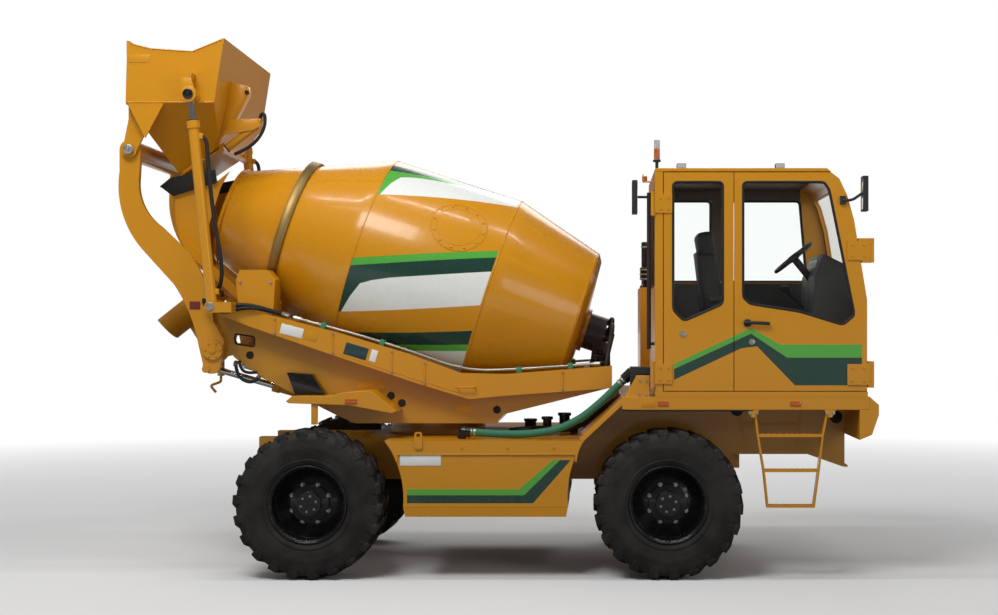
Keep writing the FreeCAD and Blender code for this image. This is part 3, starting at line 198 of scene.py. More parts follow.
def build_film_group() -> None:
    """Sprayed paint: a slow drift of shade, fine orange peel, and road dust that thins with height."""
    sheet, given, result = new_group(
        GroupKind.FILM,
        {"Vector": None, "Colour": (0.8, 0.8, 0.8, 1.0), "Drift": 0.06, "Roughness": 0.3, "Dust": 0.1, "Dust Top": 1.0,
         "Dust Colour": (0.3, 0.26, 0.2, 1.0)}, ("Colour", "Roughness", "Height"))
    slow, peel, speck = (sheet.noise(given["Vector"], *grade) for grade in ((1.7, 4.0), (160.0, 2.0), (22.0, 6.0)))
    drift = sheet.times(sheet.less(slow, 0.5), given["Drift"])
    shade = sheet.math("ADD", sheet.times(drift, 2.0), 1.0)
    lit = sheet.vector("SCALE", {0: given["Colour"], 3: shade})
    height = sheet.split(given["Vector"])[2]
    low = sheet.math("SUBTRACT", 1.0, sheet.math("DIVIDE", height, given["Dust Top"]), clamp=True)
    cover = sheet.math("MULTIPLY", sheet.ramp(speck, 0.35, 0.75), sheet.times(low, given["Dust"]), clamp=True)
    sheet.feed(result["Colour"], sheet.mix(cover, lit, given["Dust Colour"]))
    rough = sheet.math("ADD", given["Roughness"], sheet.times(cover, 0.6))
    sheet.feed(result["Roughness"], sheet.math("ADD", rough, sheet.ramp(speck, 0.3, 0.8, -0.02, 0.05), clamp=True))
    sheet.feed(result["Height"], peel)


def build_grain_group() -> None:
    """Moulded plastic, rubber and vinyl: a fine pebbled surface over a slow unevenness."""
    sheet, given, result = new_group(
        GroupKind.GRAIN, {"Vector": None, "Colour": (0.8, 0.8, 0.8, 1.0), "Scale": 300.0, "Fade": 0.15},
        ("Colour", "Height", "Roughness"))
    pebble = sheet.node("TexVoronoi", {"Vector": given["Vector"], "Scale": given["Scale"]}).outputs[0]
    slow = sheet.noise(given["Vector"], 6.0, 6.0)
    worn = sheet.times(sheet.ramp(slow, 0.4, 0.75), given["Fade"])
    sheet.feed(result["Colour"], sheet.mix(worn, given["Colour"], (0.16, 0.15, 0.14)))
    sheet.feed(result["Height"], sheet.math("ADD", pebble, slow))
    sheet.feed(result["Roughness"], sheet.ramp(slow, 0.3, 0.7, 0.48, 0.72))


def build_bent_line_group() -> None:
    """A line of four straight runs: its level at a position, from five knees in order."""
    knees = {f"{letter}{i}": 0.0 for i in range(5) for letter in "XZ"}
    sheet, given, result = new_group(GroupKind.BENT_LINE, {"Position": 0.0, **knees}, ("Level",))
    level = given["Z0"]
    for i in range(1, 5):
        step = sheet.less(given[f"Z{i}"], given[f"Z{i - 1}"])
        level = sheet.math("ADD", level, sheet.ramp(given["Position"], given[f"X{i - 1}"], given[f"X{i}"], 0.0, step))
    sheet.feed(result["Level"], level)


def build_band_group() -> None:
    """One between a low and a high level and nothing outside, with a crisp but not jagged edge."""
    sheet, given, result = new_group(GroupKind.BAND, {"Value": 0.0, "Low": 0.0, "High": 1.0, "Edge": 0.001}, ("Mask",))
    sides = (("Value", "Low"), ("High", "Value"))
    rise, fall = (sheet.math("DIVIDE", sheet.less(given[a], given[b]), given["Edge"], clamp=True) for a, b in sides)
    sheet.feed(result["Mask"], sheet.times(rise, fall))


class PaintSheet(Sheet):
    """A material's tree, with its shader and the shared effects."""

    def __init__(self, name: str) -> None:
        """Start a material with a name."""
        self.material = bpy.data.materials.new(name)
        self.material.use_nodes = True
        super().__init__(self.material.node_tree)
        self.shader = self.tree.nodes["Principled BSDF"]

    def group(self, kind: GroupKind, inputs: dict) -> Sequence[Socket]:
        """Place one of the shared effects, and give its outputs."""
        return self.node("Group", inputs, node_tree=bpy.data.node_groups[kind.value]).outputs

    def bump(self, height: object, strength: float, distance: float) -> None:
        """Raise the surface by a height."""
        made = self.node("Bump", {"Height": height, "Strength": strength, "Distance": distance})
        self.feed(self.shader.inputs["Normal"], made.outputs[0])

    def set(self, **values: object) -> None:
        """Set the shader's own sockets, named with underscores for spaces."""
        for name, value in values.items():
            self.feed(self.shader.inputs[name.replace("_", " ")], value)

    def line(self, position: object, knees: Spots) -> Socket:
        """The level of a bent line at a position, through up to five knees."""
        full = list(knees) + [(knees[-1][0] + 1.0 + i, knees[-1][1]) for i in range(5 - len(knees))]
        inputs: dict = {"Position": position}
        for i, (x, z) in enumerate(full):
            inputs[f"X{i}"], inputs[f"Z{i}"] = x, z
        return self.group(GroupKind.BENT_LINE, inputs)[0]

    def band(self, value: object, low: object, high: object, edge: float = 0.001) -> Socket:
        """The mask between two levels."""
        return self.group(GroupKind.BAND, {"Value": value, "Low": low, "High": high, "Edge": edge})[0]


# ---- finishes
YELLOW: Point = (0.61, 0.258, 0.006)
LIGHT_GREEN: Point = (0.085, 0.4, 0.05)
DARK_GREEN: Point = (0.012, 0.052, 0.036)
PANEL_WHITE: Point = (0.78, 0.8, 0.76)
COAT_ROUGHNESS = 0.06
PAINT_SPECULAR = 0.35


@dataclass(frozen=True)
class Coating:
    """What every finish has: the material's name, the record's slot and a colour."""

    name: str
    slot: str
    colour: Point

    def build(self) -> bpy.types.Material:
        """Make the material."""
        sheet = PaintSheet(self.name)
        self.paint(sheet)
        return sheet.material

    def paint(self, sheet: PaintSheet) -> None:
        """Wire the finish into the material; each kind of finish has its own way."""
        raise NotImplementedError


@dataclass(frozen=True)
class Enamel(Coating):
    """A sprayed enamel in one colour."""

    roughness: float = 0.3
    coat: float = 0.15
    drift: float = 0.05
    dust: float = 0.1
    dust_top: float = 1.2

    def pattern(self, sheet: PaintSheet) -> object:
        """The colour under the film."""
        return self.colour

    def paint(self, sheet: PaintSheet) -> None:
        """Wire the paint film over the pattern."""
        film = sheet.group(GroupKind.FILM, {"Vector": sheet.place(), "Colour": self.pattern(sheet), "Drift": self.drift,
                                            "Roughness": self.roughness, "Dust": self.dust, "Dust Top": self.dust_top})
        sheet.set(Base_Color=film["Colour"], Roughness=film["Roughness"], Coat_Weight=self.coat,
                  Coat_Roughness=COAT_ROUGHNESS, Specular_IOR_Level=PAINT_SPECULAR)
        sheet.bump(film["Height"], 0.05, 0.0006)


@dataclass(frozen=True)
class StripedEnamel(Enamel):
    """An enamel with a light and a dark green stripe between three bent lines of (x, z) knees."""

    lines: tuple = ()
    ends: tuple = ()
    heights: tuple = (0.0, 9.0)
    depths: tuple = ()

    def pattern(self, sheet: PaintSheet) -> object:
        """The stripe over the plain colour."""
        x, y, z = sheet.split(sheet.place())
        top, split, low = (sheet.line(x, knees) for knees in self.lines)
        face = sheet.band(sheet.math("ABSOLUTE", y) if self.depths[0] > 0 else y, *self.depths)
        inside = sheet.times(sheet.band(z, *self.heights), sheet.times(face, sheet.band(x, *self.ends)))
        light = sheet.times(sheet.band(z, split, top), inside)
        dark = sheet.times(sheet.band(z, low, split), inside)
        return sheet.mix(dark, sheet.mix(light, self.colour, LIGHT_GREEN), DARK_GREEN)


@dataclass(frozen=True)
class DrumEnamel(Enamel):
    """Yellow enamel with slanted green and white panels round the drum's body.

    A panel is its middle in degrees round the drum, after the slant is taken off, and whether its dark stripe is first.
    """

    slant: float = 26.5
    half: float = 15.7
    length: float = 1.068
    soft: float = 0.12
    crisp: float = 0.0015
    panels: tuple = ((-17.0, False), (52.7, True), (-62.6, True), (163.0, False), (-127.3, True), (117.4, True))

    def pattern(self, sheet: PaintSheet) -> object:
        """The panels over the plain colour."""
        half, white_top = self.half, self.half - 12.5
        shifted = sheet.vector("SUBTRACT", {0: sheet.place(), 1: DRUM_HUB})
        along, rise = (sheet.vector("DOT_PRODUCT", {0: shifted, 1: way}, "Value") for way in (DRUM_AXIS, DRUM_UP))
        out = sheet.times(sheet.split(shifted)[1], -1.0)
        turn = sheet.times(sheet.math("ARCTAN2", rise, out), 180.0 / math.pi)
        turn = sheet.less(turn, sheet.times(along, self.slant))
        colour: object = self.colour
        body = sheet.band(along, 0.004, self.length, self.crisp)
        knees = [(-half, 0.024), (-6.0, 0.066), (1.0, 0.115), (white_top - 0.8, 0.2), (white_top, 0.34)]
        for middle, dark_first in self.panels:
            local = sheet.math("WRAP", sheet.less(turn, middle), 180.0)
            local.node.inputs[2].default_value = -180.0
            first, second = (DARK_GREEN, LIGHT_GREEN) if dark_first else (LIGHT_GREEN, DARK_GREEN)
            whole = sheet.times(sheet.band(local, -half, half, self.soft), body)
            white = sheet.times(sheet.band(local, -half, white_top, self.soft),
                                sheet.band(along, sheet.line(local, knees), 2.0, self.crisp))
            upper = sheet.band(local, half - (8.5 if dark_first else 4.3), half, self.soft)
            colour = sheet.mix(whole, colour, sheet.mix(white, sheet.mix(upper, second, first), PANEL_WHITE))
        return colour


@dataclass(frozen=True)
class Moulded(Coating):
    """Rubber, plastic or vinyl with a fine grain."""

    scale: float = 320.0
    bump: float = 0.25
    fade: float = 0.15
    specular: float = 0.35

    def paint(self, sheet: PaintSheet) -> None:
        """Wire the grain."""
        grain = sheet.group(GroupKind.GRAIN, {"Vector": sheet.place(), "Colour": self.colour, "Scale": self.scale,
                                              "Fade": self.fade})
        sheet.set(Base_Color=grain["Colour"], Roughness=grain["Roughness"], Specular_IOR_Level=self.specular)
        sheet.bump(grain["Height"], self.bump, 0.0006)


@dataclass(frozen=True)
class Bare(Coating):
    """Bare or plated metal with fine scratches along its length."""

    roughness: float = 0.25
    scratch: float = 0.08

    def paint(self, sheet: PaintSheet) -> None:
        """Wire the scratches and the uneven tone."""
        place = sheet.place()
        lines = sheet.noise(sheet.node("Mapping", {"Vector": place, "Scale": (3.0, 60.0, 60.0)}).outputs[0], 9.0, 8.0)
        tone = sheet.ramp(sheet.noise(place, 4.0, 3.0), 0.3, 0.7)
        sheet.set(Base_Color=sheet.mix(tone, self.colour, tuple(c * 0.72 for c in self.colour)), Metallic=1.0,
                  Roughness=sheet.ramp(lines, 0.3, 0.7, self.roughness, self.roughness + self.scratch))
        sheet.bump(lines, 0.04, 0.0003)


@dataclass(frozen=True)
class Glazing(Coating):
    """Clear safety glass."""

    roughness: float = 0.01
    bend: float = 1.08

    def paint(self, sheet: PaintSheet) -> None:
        """Wire clear glass with a faint film of dirt."""
        film = sheet.ramp(sheet.noise(sheet.place(), 3.0, 4.0), 0.4, 0.8, self.roughness, self.roughness + 0.03)
        sheet.set(Base_Color=self.colour, Transmission_Weight=1.0, IOR=self.bend, Roughness=film)


@dataclass(frozen=True)
class Lens(Coating):
    """A tinted lamp cover or reflector with a fine prism pattern."""

    def paint(self, sheet: PaintSheet) -> None:
        """Wire the prisms."""
        prisms = sheet.node("TexVoronoi", {"Vector": sheet.place(), "Scale": 220.0}).outputs[0]
        tone = sheet.mix(sheet.ramp(prisms, 0.0, 0.8), self.colour, tuple(c * 0.6 for c in self.colour))
        sheet.set(Base_Color=tone, Roughness=0.12, Coat_Weight=0.6)
        sheet.bump(prisms, 0.3, 0.0008)


CAB_STRIPE = (((1.416, 1.647), (2.0025, 1.9212), (2.2232, 1.7955), (2.8475, 1.7955)),
              ((1.416, 1.609), (2.0025, 1.8793), (2.2765, 1.6966), (2.8475, 1.6966)),
              ((1.416, 1.5253), (1.9263, 1.7651), (2.0481, 1.7817), (2.3374, 1.4834), (2.8475, 1.4834)))
TANK_STRIPE = (((-0.6177, 0.6921), (0.2357, 0.6921), (0.4948, 0.9154)),
               ((-0.6177, 0.6472), (0.2738, 0.6472), (0.5481, 0.9154)),
               ((-0.6177, 0.5847), (0.3424, 0.5847), (0.6319, 0.9154)))


class Finish(Enum):
    """Every finish on the machine."""

    BODY = Enamel("Body Enamel", "body_paint", YELLOW)
    CAB = StripedEnamel("Cab Door Enamel", "body_paint", YELLOW, dust=0.05, lines=CAB_STRIPE, ends=(1.416, 2.8475),
                        depths=(-1.2212, -1.19))
    TANK = StripedEnamel("Tank Enamel", "tank_paint", YELLOW, dust=0.16, lines=TANK_STRIPE, ends=(-0.6177, 0.66),
                         heights=(0.0, 0.9154), depths=(1.2, 2.0))
    DRUM = DrumEnamel("Drum Enamel", "drum_paint", YELLOW, roughness=0.26, coat=0.22, dust=0.0)
    # Painted shade: a darker copy of the body's yellow for the frame, axle housings, turret base and knuckles under the
    # body, with heavier road dust as well.
    FRAME = Enamel("Frame Enamel Painted Shade", "frame_paint", (0.5, 0.225, 0.008), roughness=0.36, coat=0.2, dust=0.22)
    BLACK = Enamel("Black Enamel", "dark_enamel", (0.007, 0.006, 0.006), roughness=0.25, coat=0.25, dust=0.04,
                   dust_top=1.3)
    PLATE = Enamel("White Plate", "trim_black", PANEL_WHITE, roughness=0.35, coat=0.2, dust=0.03)
    PLATE_DARK = Enamel("Dark Plate", "trim_black", (0.02, 0.05, 0.055), roughness=0.35, coat=0.2, dust=0.03)
    PLATE_RED = Enamel("Red Plate", "trim_black", (0.16, 0.02, 0.015), roughness=0.4, coat=0.2, dust=0.03)
    ENGINE = Enamel("Engine Enamel", "engine_grey", (0.055, 0.055, 0.06), roughness=0.45, coat=0.1, dust=0.2,
                    dust_top=3.0)
    TYRE = Moulded("Tyre Rubber", "tyre_rubber", (0.016, 0.014, 0.013), 260.0, 0.35, 0.14, 0.28)
    RUBBER = Moulded("Seal Rubber", "seal_rubber", (0.01, 0.01, 0.01), 500.0, 0.15, 0.08)
    PLASTIC = Moulded("Black Plastic", "trim_black", (0.014, 0.014, 0.015), 700.0, 0.3, 0.06, 0.45)
    VINYL = Moulded("Cushion Vinyl", "seat_cloth", (0.012, 0.012, 0.013), 420.0, 0.35, 0.05, 0.4)
    LINING = Moulded("Cab Lining", "trim_black", (0.085, 0.062, 0.045), 240.0, 0.3, 0.1)
    CLAMP = Moulded("Green Clamp", "hose_green", (0.045, 0.23, 0.12), 500.0, 0.1, 0.05)
    HOSE = Moulded("Green Hose", "hose_green", (0.03, 0.175, 0.1), 300.0, 0.2, 0.05)
    HOSE_BLACK = Moulded("Black Hose", "seal_rubber", (0.012, 0.012, 0.012), 420.0, 0.2, 0.08)
    CHROME = Bare("Hard Chrome", "chrome", (0.78, 0.78, 0.79), 0.08, 0.05)
    STEEL = Bare("Bright Steel", "steel", (0.56, 0.55, 0.52), 0.24, 0.16)
    ZINC = Bare("Zinc Plate", "steel", (0.5, 0.49, 0.44), 0.34, 0.1)
    WORN = Bare("Worn Track", "steel", (0.4, 0.27, 0.1), 0.42, 0.2)
    GLASS = Glazing("Safety Glass", "glass", (0.97, 0.99, 0.98))
    MIRROR = Bare("Mirror Glass", "chrome", (0.85, 0.86, 0.86), 0.02, 0.01)
    AMBER = Lens("Amber Lens", "lamp", (0.62, 0.12, 0.01))
    CLEAR = Lens("Clear Lens", "lamp", (0.62, 0.63, 0.62))


class Palette:
    """The materials, each built once."""

    def __init__(self) -> None:
        """Build the shared effects and every finish."""
        for build in (build_film_group, build_grain_group, build_bent_line_group, build_band_group):
            build()
        self.materials = {finish: finish.value.build() for finish in Finish}

    def __getitem__(self, finish: Finish) -> bpy.types.Material:
        """The material of a finish."""
        return self.materials[finish]


# ---- mesh work
class Maker:
    """A mesh in the making: simple shapes joined into one piece."""

    palette: Palette

    def __init__(self) -> None:
        """Start an empty mesh."""
        self.bm = bmesh.new()

    def round_off(self, verts: Iterable, width: float, steps: int = 2, angle: float = 0.5) -> None:
        """Bevel the sharp edges of some vertices.

        Args:
            verts: the shape's vertices.
            width: the bevel's width.
            steps: segments across it.
            angle: edges sharper than this are taken.
        """
        if width <= 0:
            return
        edges = dict.fromkeys(e for v in verts for e in v.link_edges
                              if len(e.link_faces) == 2 and e.calc_face_angle(0.0) > angle)
        bmesh.ops.bevel(self.bm, geom=list(edges), offset=width, offset_type="OFFSET", affect="EDGES",
                        segments=steps, profile=0.5, material=-1, clamp_overlap=True)

    def box(self, place: Matrix, size: Sequence[float], bevel: float, steps: int = 2) -> "Maker":
        """A box of a size about a place, with its edges rounded."""
        made = bmesh.ops.create_cube(self.bm, size=1.0, matrix=place @ Matrix.Diagonal((*size, 1.0)))
        self.round_off(made["verts"], bevel, steps)
        return self

    def block(self, low: Sequence[float], high: Sequence[float], bevel: float = 0.004) -> "Maker":
        """A block between two corners."""
        middle = [(h + l) / 2 for l, h in zip(low, high)]
        return self.box(Matrix.Translation(middle), [h - l for l, h in zip(low, high)], bevel)

    def plate(self, centre: Sequence[float], size: Point, lean: float = 0.0, bevel: float = 0.001) -> "Maker":
        """A small plate about a centre, leaned in degrees about the vehicle's cross axis."""
        return self.box(Matrix.Translation(centre) @ Matrix.Rotation(math.radians(lean), 4, "Y"), size, bevel)

    def rod(self, start: Sequence[float], end: Sequence[float], radius: float, tip: Optional[float] = None,
            sides: int = 24, bevel: float = 0.0) -> "Maker":
        """A round or many-sided bar between two points, tapered if a tip radius is given."""
        a, b = Vector(start), Vector(end)
        turn = Vector(UP).rotation_difference((b - a).normalized()).to_matrix().to_4x4()
        made = bmesh.ops.create_cone(self.bm, cap_ends=True, segments=sides, radius1=radius,
                                     radius2=radius if tip is None else tip, depth=(b - a).length,
                                     matrix=Matrix.Translation((a + b) / 2) @ turn)
        self.round_off(made["verts"], bevel, angle=1.0)
        return self

    def boss(self, base: Sequence[float], tall: float, radius: float, sides: int = 24, bevel: float = 0.003) -> "Maker":
        """A round boss that stands out towards the vehicle's right."""
        return self.rod(base, Vector(base) + Vector(OUT) * tall, radius, sides=sides, bevel=bevel)

    def ball(self, centre: Sequence[float], radius: float) -> "Maker":
        """A ball."""
        bmesh.ops.create_uvsphere(self.bm, u_segments=24, v_segments=14, radius=radius,
                                  matrix=Matrix.Translation(centre))
        return self

    def turned(self, profile: Spots, origin: Sequence[float], axis: Sequence[float], steps: int = 64,
               closed: bool = False) -> "Maker":
        """A shape spun from (radius, distance along the axis) points.

        Args:
            profile: the section, whose ends meet the axis or each other.
            origin: the axis point that distances count from.
            axis: its direction.
            steps: how many steps make the turn.
            closed: whether the section closes on itself.

        Returns:
            This maker.
        """
        along, start = Vector(axis).normalized(), Vector(origin)
        side = along.orthogonal().normalized()
        verts = [self.bm.verts.new(start + side * r + along * d) for r, d in profile]
        pairs = list(zip(verts, verts[1:])) + ([(verts[-1], verts[0])] if closed else [])
        edges = [self.bm.edges.new(pair) for pair in pairs]
        bmesh.ops.spin(self.bm, geom=verts + edges, cent=start, axis=along, angle=2 * math.pi, steps=steps,
                       use_merge=True)
        return self

    def collar(self, origin: Sequence[float], axis: Sequence[float], inner: float, outer: float, low: float,
               high: float, steps: int = 32) -> "Maker":
        """A square-edged ring round an axis, between two radii and two distances along it."""
        return self.turned([(inner, low), (outer, low), (outer, high), (inner, high)], origin, axis, steps, True)

    def slab(self, y: float, deep: float, outline: Spots, bevel: float = 0.003) -> "Maker":
        """An upright (x, z) outline at a place across the vehicle, pulled to the left."""
        verts = [self.bm.verts.new((x, y, z)) for x, z in outline]
        face = self.bm.faces.new(verts)
        pulled = bmesh.ops.extrude_face_region(self.bm, geom=[face], use_keep_orig=True)
        moved = [g for g in pulled["geom"] if isinstance(g, bmesh.types.BMVert)]
        bmesh.ops.translate(self.bm, verts=moved, vec=(0, deep, 0))
        self.round_off(verts + moved, bevel)
        return self

    def bolt(self, base: Sequence[float], direction: Sequence[float], across: float = 0.012,
             tall: float = 0.01) -> "Maker":
        """A hexagon bolt head on a washer."""
        a, d = Vector(base), Vector(direction).normalized()
        self.rod(a, a + d * tall * 0.25, across * 1.25, sides=16)
        return self.rod(a + d * tall * 0.25, a + d * tall, across, sides=6, bevel=across * 0.08)

    def side_bolts(self, y: float, spots: Spots, across: float, tall: float) -> "Maker":
        """Bolt heads that face the vehicle's right, at some (x, z) spots."""
        for x, z in spots:
            self.bolt((x, y, z), OUT, across, tall)
        return self

    def pipe(self, points: Sequence[Sequence[float]], radius: float, sides: int = 12, steps: int = 6,
             closed: bool = False) -> "Maker":
        """A round pipe along a smooth path through some points.

        Args:
            points: the path, whose corners are rounded off.
            radius: the pipe's radius.
            sides: how many sides its section has.
            steps: samples on each run of the path.
            closed: whether the path comes back to its start.

        Returns:
            This maker.
        """
        curve = bpy.data.curves.new("route", "CURVE")
        curve.dimensions = "3D"
        curve.resolution_u = steps
        curve.bevel_depth = radius
        curve.bevel_resolution = max(1, (sides - 4) // 2)
        curve.use_fill_caps = True
        spline = curve.splines.new("NURBS")
        spline.points.add(len(points) - 1)
        for knot, place in zip(spline.points, points):
            knot.co = (*place, 1.0)
        spline.order_u = 3
        spline.use_endpoint_u = not closed
        spline.use_cyclic_u = closed
        holder = bpy.data.objects.new("route", curve)
        mesh = bpy.data.meshes.new_from_object(holder)
        self.bm.from_mesh(mesh)
        bpy.data.objects.remove(holder)
        bpy.data.curves.remove(curve)
        bpy.data.meshes.remove(mesh)
        return self

    def side_pipe(self, y: float, spots: Spots, radius: float, sides: int = 8) -> "Maker":
        """A pipe through (x, z) spots at a place across the vehicle."""
        return self.pipe([(x, y, z) for x, z in spots], radius, sides)

    def copy_of(self, node: str) -> "Maker":
        """Take over a CAD node's mesh, merged into one surface with flat faces."""
        self.bm.from_mesh(frame["nodes"][node].data)
        bmesh.ops.remove_doubles(self.bm, verts=self.bm.verts, dist=1e-5)
        bmesh.ops.dissolve_limit(self.bm, angle_limit=math.radians(0.2), verts=self.bm.verts, edges=self.bm.edges)
        return self

    def mirrored(self) -> "Maker":
        """Add the mirror image across the vehicle's middle plane."""
        bmesh.ops.mirror(self.bm, geom=list(self.bm.verts) + list(self.bm.edges) + list(self.bm.faces),
                         merge_dist=-1.0, axis="Y")
        return self

    def piece(self, name: str, body: str, finish: Finish, smooth: float = 32.0, bevel: float = 0.0,
              stands_for: Sequence[str] = (), outward: bool = True) -> bpy.types.Object:
        """Finish the mesh as a piece that rides on a body.

        Args:
            name: the piece's name.
            body: the CAD body that it moves with.
            finish: its finish.
            smooth: edges sharper than this many degrees stay crisp.
            bevel: width of a live bevel over the crisp edges.
            stands_for: CAD nodes that it replaces.
            outward: whether the faces are turned outwards first.

        Returns:
            The piece.
        """
        if outward:
            bmesh.ops.recalc_face_normals(self.bm, faces=self.bm.faces)
        limit = math.radians(smooth)
        for face in self.bm.faces:
            face.smooth = True
        for edge in self.bm.edges:
            edge.smooth = len(edge.link_faces) == 2 and edge.calc_face_angle(0.0) < limit
        mesh = bpy.data.meshes.new(name)
        self.bm.to_mesh(mesh)
        self.bm.free()
        mesh.materials.append(Maker.palette[finish])
        made = bpy.data.objects.new(name, mesh)
        bpy.context.scene.collection.objects.link(made)
        if bevel:
            rounder = made.modifiers.new("Edges", "BEVEL")
            rounder.limit_method = "ANGLE"
            rounder.angle_limit = math.radians(38)
            rounder.width = bevel
            rounder.segments = 2
            rounder.use_clamp_overlap = True
            rounder.harden_normals = True
        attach(made, body)
        if stands_for:
            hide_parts(*stands_for)
        LOG.info("%s on %s: %d faces", name, body, len(mesh.polygons))
        return made


def ring_points(count: int, radius: float, phase: float = 0.0) -> list[tuple[float, float]]:
    """Points spaced evenly round a circle."""
    turns = [phase + 2 * math.pi * i / count for i in range(count)]
    return [(radius * math.cos(turn), radius * math.sin(turn)) for turn in turns]


def rounded_path(corners: Spots, radius: float, y: float) -> list[Point]:
    """Control points of a closed path in an upright plane, with every corner rounded.

    Args:
        corners: the outline as (x, z).
        radius: how far from a corner its rounding starts.
        y: the plane's place across the vehicle.

    Returns:
        The points, for a closed pipe.
    """
    points = []
    for i, (x, z) in enumerate(corners):
        corner = Vector((x, y, z))
        for x1, z1 in (corners[i - 1], corners[(i + 1) % len(corners)]):
            run = Vector((x1, y, z1)) - corner
            points.append(tuple(corner + run.normalized() * min(radius, run.length * 0.45)))
        points.insert(-1, tuple(corner))
    return points


def level_at(line: Spots, x: float) -> float:
    """The height of a line of (x, z) points at a place along the vehicle."""
    for (x0, z0), (x1, z1) in zip(line, line[1:]):
        if min(x0, x1) <= x <= max(x0, x1):
            return z0 + (z1 - z0) * (x - x0) / (x1 - x0)
    return line[-1][1]


# ---- studio
@dataclass
class Studio:
    """The floor, the lights, the world and the camera."""

    camera_place: Point = (0.83, -13.82, 1.944)
    lens: float = 59.7
    shift: tuple[float, float] = (-0.0982, 0.0175)
    floor_reach: float = 400.0
    fade: tuple[float, float] = (5.0, 16.0)
    ambient: float = 0.27
    gloss: float = 0.12

    def build(self) -> None:
        """Set up everything that isn't the machine."""
        bpy.context.scene.view_settings.view_transform = "Standard"
        self.camera()
        self.floor()
        self.world()
        self.lamp("Key", (-3.0, -7.0, 10.0), (0.3, 0.0, 1.8), 5.0, 3.0, 640.0)
        self.lamp("Fill", (9.0, -10.0, 4.5), (0.5, 0.0, 1.6), 5.0, 3.0, 170.0)
        self.lamp("Back", (0.0, 9.0, 8.0), (0.0, 0.0, 1.6), 8.0, 4.0, 300.0)
        for i, x in enumerate((-3.6, 0.2, 4.0)):
            self.lamp(f"Strip{i}", (x, -1.6, 9.0), (x, -0.4, 0.0), 3.0, 0.1, 60.0)

    @staticmethod
    def hold(name: str, data: object, place: Point = (0.0, 0.0, 0.0)) -> bpy.types.Object:
        """Stand some data in the scene."""
        made = bpy.data.objects.new(name, data)
        made.location = place
        bpy.context.scene.collection.objects.link(made)
        return made

    def camera(self) -> None:
        """Place the camera beside the machine, level with the cab's door."""
        data = bpy.data.cameras.new("Camera")
        data.lens = self.lens
        data.sensor_width = 36.0
        data.shift_x, data.shift_y = self.shift
        data.clip_end = 900.0
        holder = self.hold("Camera", data, self.camera_place)
        holder.rotation_euler = (math.radians(90), 0.0, 0.0)
        bpy.context.scene.camera = holder

    def floor(self) -> None:
        """Lay a plain pale floor that fades to white, and is darker to the light that it throws back."""
        bm = bmesh.new()
        bmesh.ops.create_grid(bm, x_segments=1, y_segments=1, size=self.floor_reach)
        mesh = bpy.data.meshes.new("Floor")
        bm.to_mesh(mesh)
        bm.free()
        sheet = PaintSheet("Floor")
        cloud = sheet.noise(sheet.place(), 0.5, 3.0)
        reach = sheet.vector("LENGTH", {0: sheet.place()}, "Value")
        away = sheet.ramp(reach, *self.fade)
        pale = sheet.mix(cloud, (0.8, 0.8, 0.8), (0.84, 0.84, 0.84))
        near = sheet.mix(sheet.node("LightPath").outputs["Is Camera Ray"], (0.2, 0.2, 0.2), pale)
        sheet.set(Base_Color=sheet.mix(away, near, (0.0, 0.0, 0.0)), Roughness=0.75, Specular_IOR_Level=0.1,
                  Emission_Color=WHITE, Emission_Strength=away)
        mesh.materials.append(sheet.material)
        self.hold("Floor", mesh)

    def world(self) -> None:
        """A white surround for the camera and the reflections, and a soft light for the rest."""
        world = bpy.data.worlds.new("Studio")
        world.use_nodes = True
        bpy.context.scene.world = world
        sheet = Sheet(world.node_tree)
        background = world.node_tree.nodes["Background"]
        path = sheet.node("LightPath").outputs
        seen = sheet.math("MAXIMUM", path["Is Camera Ray"], path["Is Transmission Ray"])
        soft = sheet.math("MULTIPLY_ADD", path["Is Glossy Ray"], self.gloss - self.ambient)
        soft.node.inputs[2].default_value = self.ambient
        sheet.feed(background.inputs["Strength"], sheet.math("MAXIMUM", seen, soft))
        sheet.feed(background.inputs["Color"], WHITE)

    def lamp(self, name: str, place: Point, target: Point, wide: float, tall: float, power: float) -> None:
        """Hang one soft area lamp.

        Args:
            name: the lamp's name.
            place: where it hangs.
            target: the point that it faces.
            wide: its width.
            tall: its height.
            power: its power in watts.
        """
        data = bpy.data.lights.new(name, "AREA")
        data.shape = "RECTANGLE"
        data.size, data.size_y = wide, tall
        data.energy = power
        holder = self.hold(name, data, place)
        holder.rotation_euler = (Vector(target) - Vector(place)).to_track_quat("-Z", "Y").to_euler()
        holder.visible_camera = False


# ---- the machine
SKINS = (
    (Finish.FRAME, "chassis_frame axle_housings"), (Finish.TANK, "side_tanks"),
    (Finish.BODY, "cab_platform front_guard ladder cab_shell cab_roof"), (Finish.CAB, "door_front door_rear"),
    (Finish.ENGINE, "engine_block"), (Finish.BODY, "engine_housing hood"),
    (Finish.BLACK, "air_stack water_pump deck_fittings"), (Finish.FRAME, "turret_base"),
    (Finish.BODY, "cradle rear_wings roller_brackets"), (Finish.ENGINE, "drum_drive"), (Finish.BODY, "hopper"),
    (Finish.RUBBER, "hopper_lip"), (Finish.BODY, "chute arms bucket_pins bucket bucket_gate lift_barrels"),
    (Finish.CHROME, "lift_rods"), (Finish.BODY, "tilt_barrels"), (Finish.CHROME, "tilt_rods"),
    (Finish.STEEL, "roller_left roller_right"), (Finish.DRUM, "drum"),
)
DRESSED = (
    (Finish.GLASS, "cab_glass door_front_glass door_rear_glass"),
    (Finish.FRAME, "knuckle_front_left knuckle_front_right knuckle_rear_left knuckle_rear_right"),
    (Finish.HOSE, "suction_hose"), (Finish.CLEAR, "lamps"), (Finish.PLASTIC, "mirror_front mirror_rear cab_console"),
)
EDGE = 0.004
FINE_EDGES = {"hopper": 0.0015, "hopper_lip": 0.002, "ladder": 0.003, "drum": 0.002, "cab_roof": 0.006,
              "door_front": 0.0035, "door_rear": 0.0035}


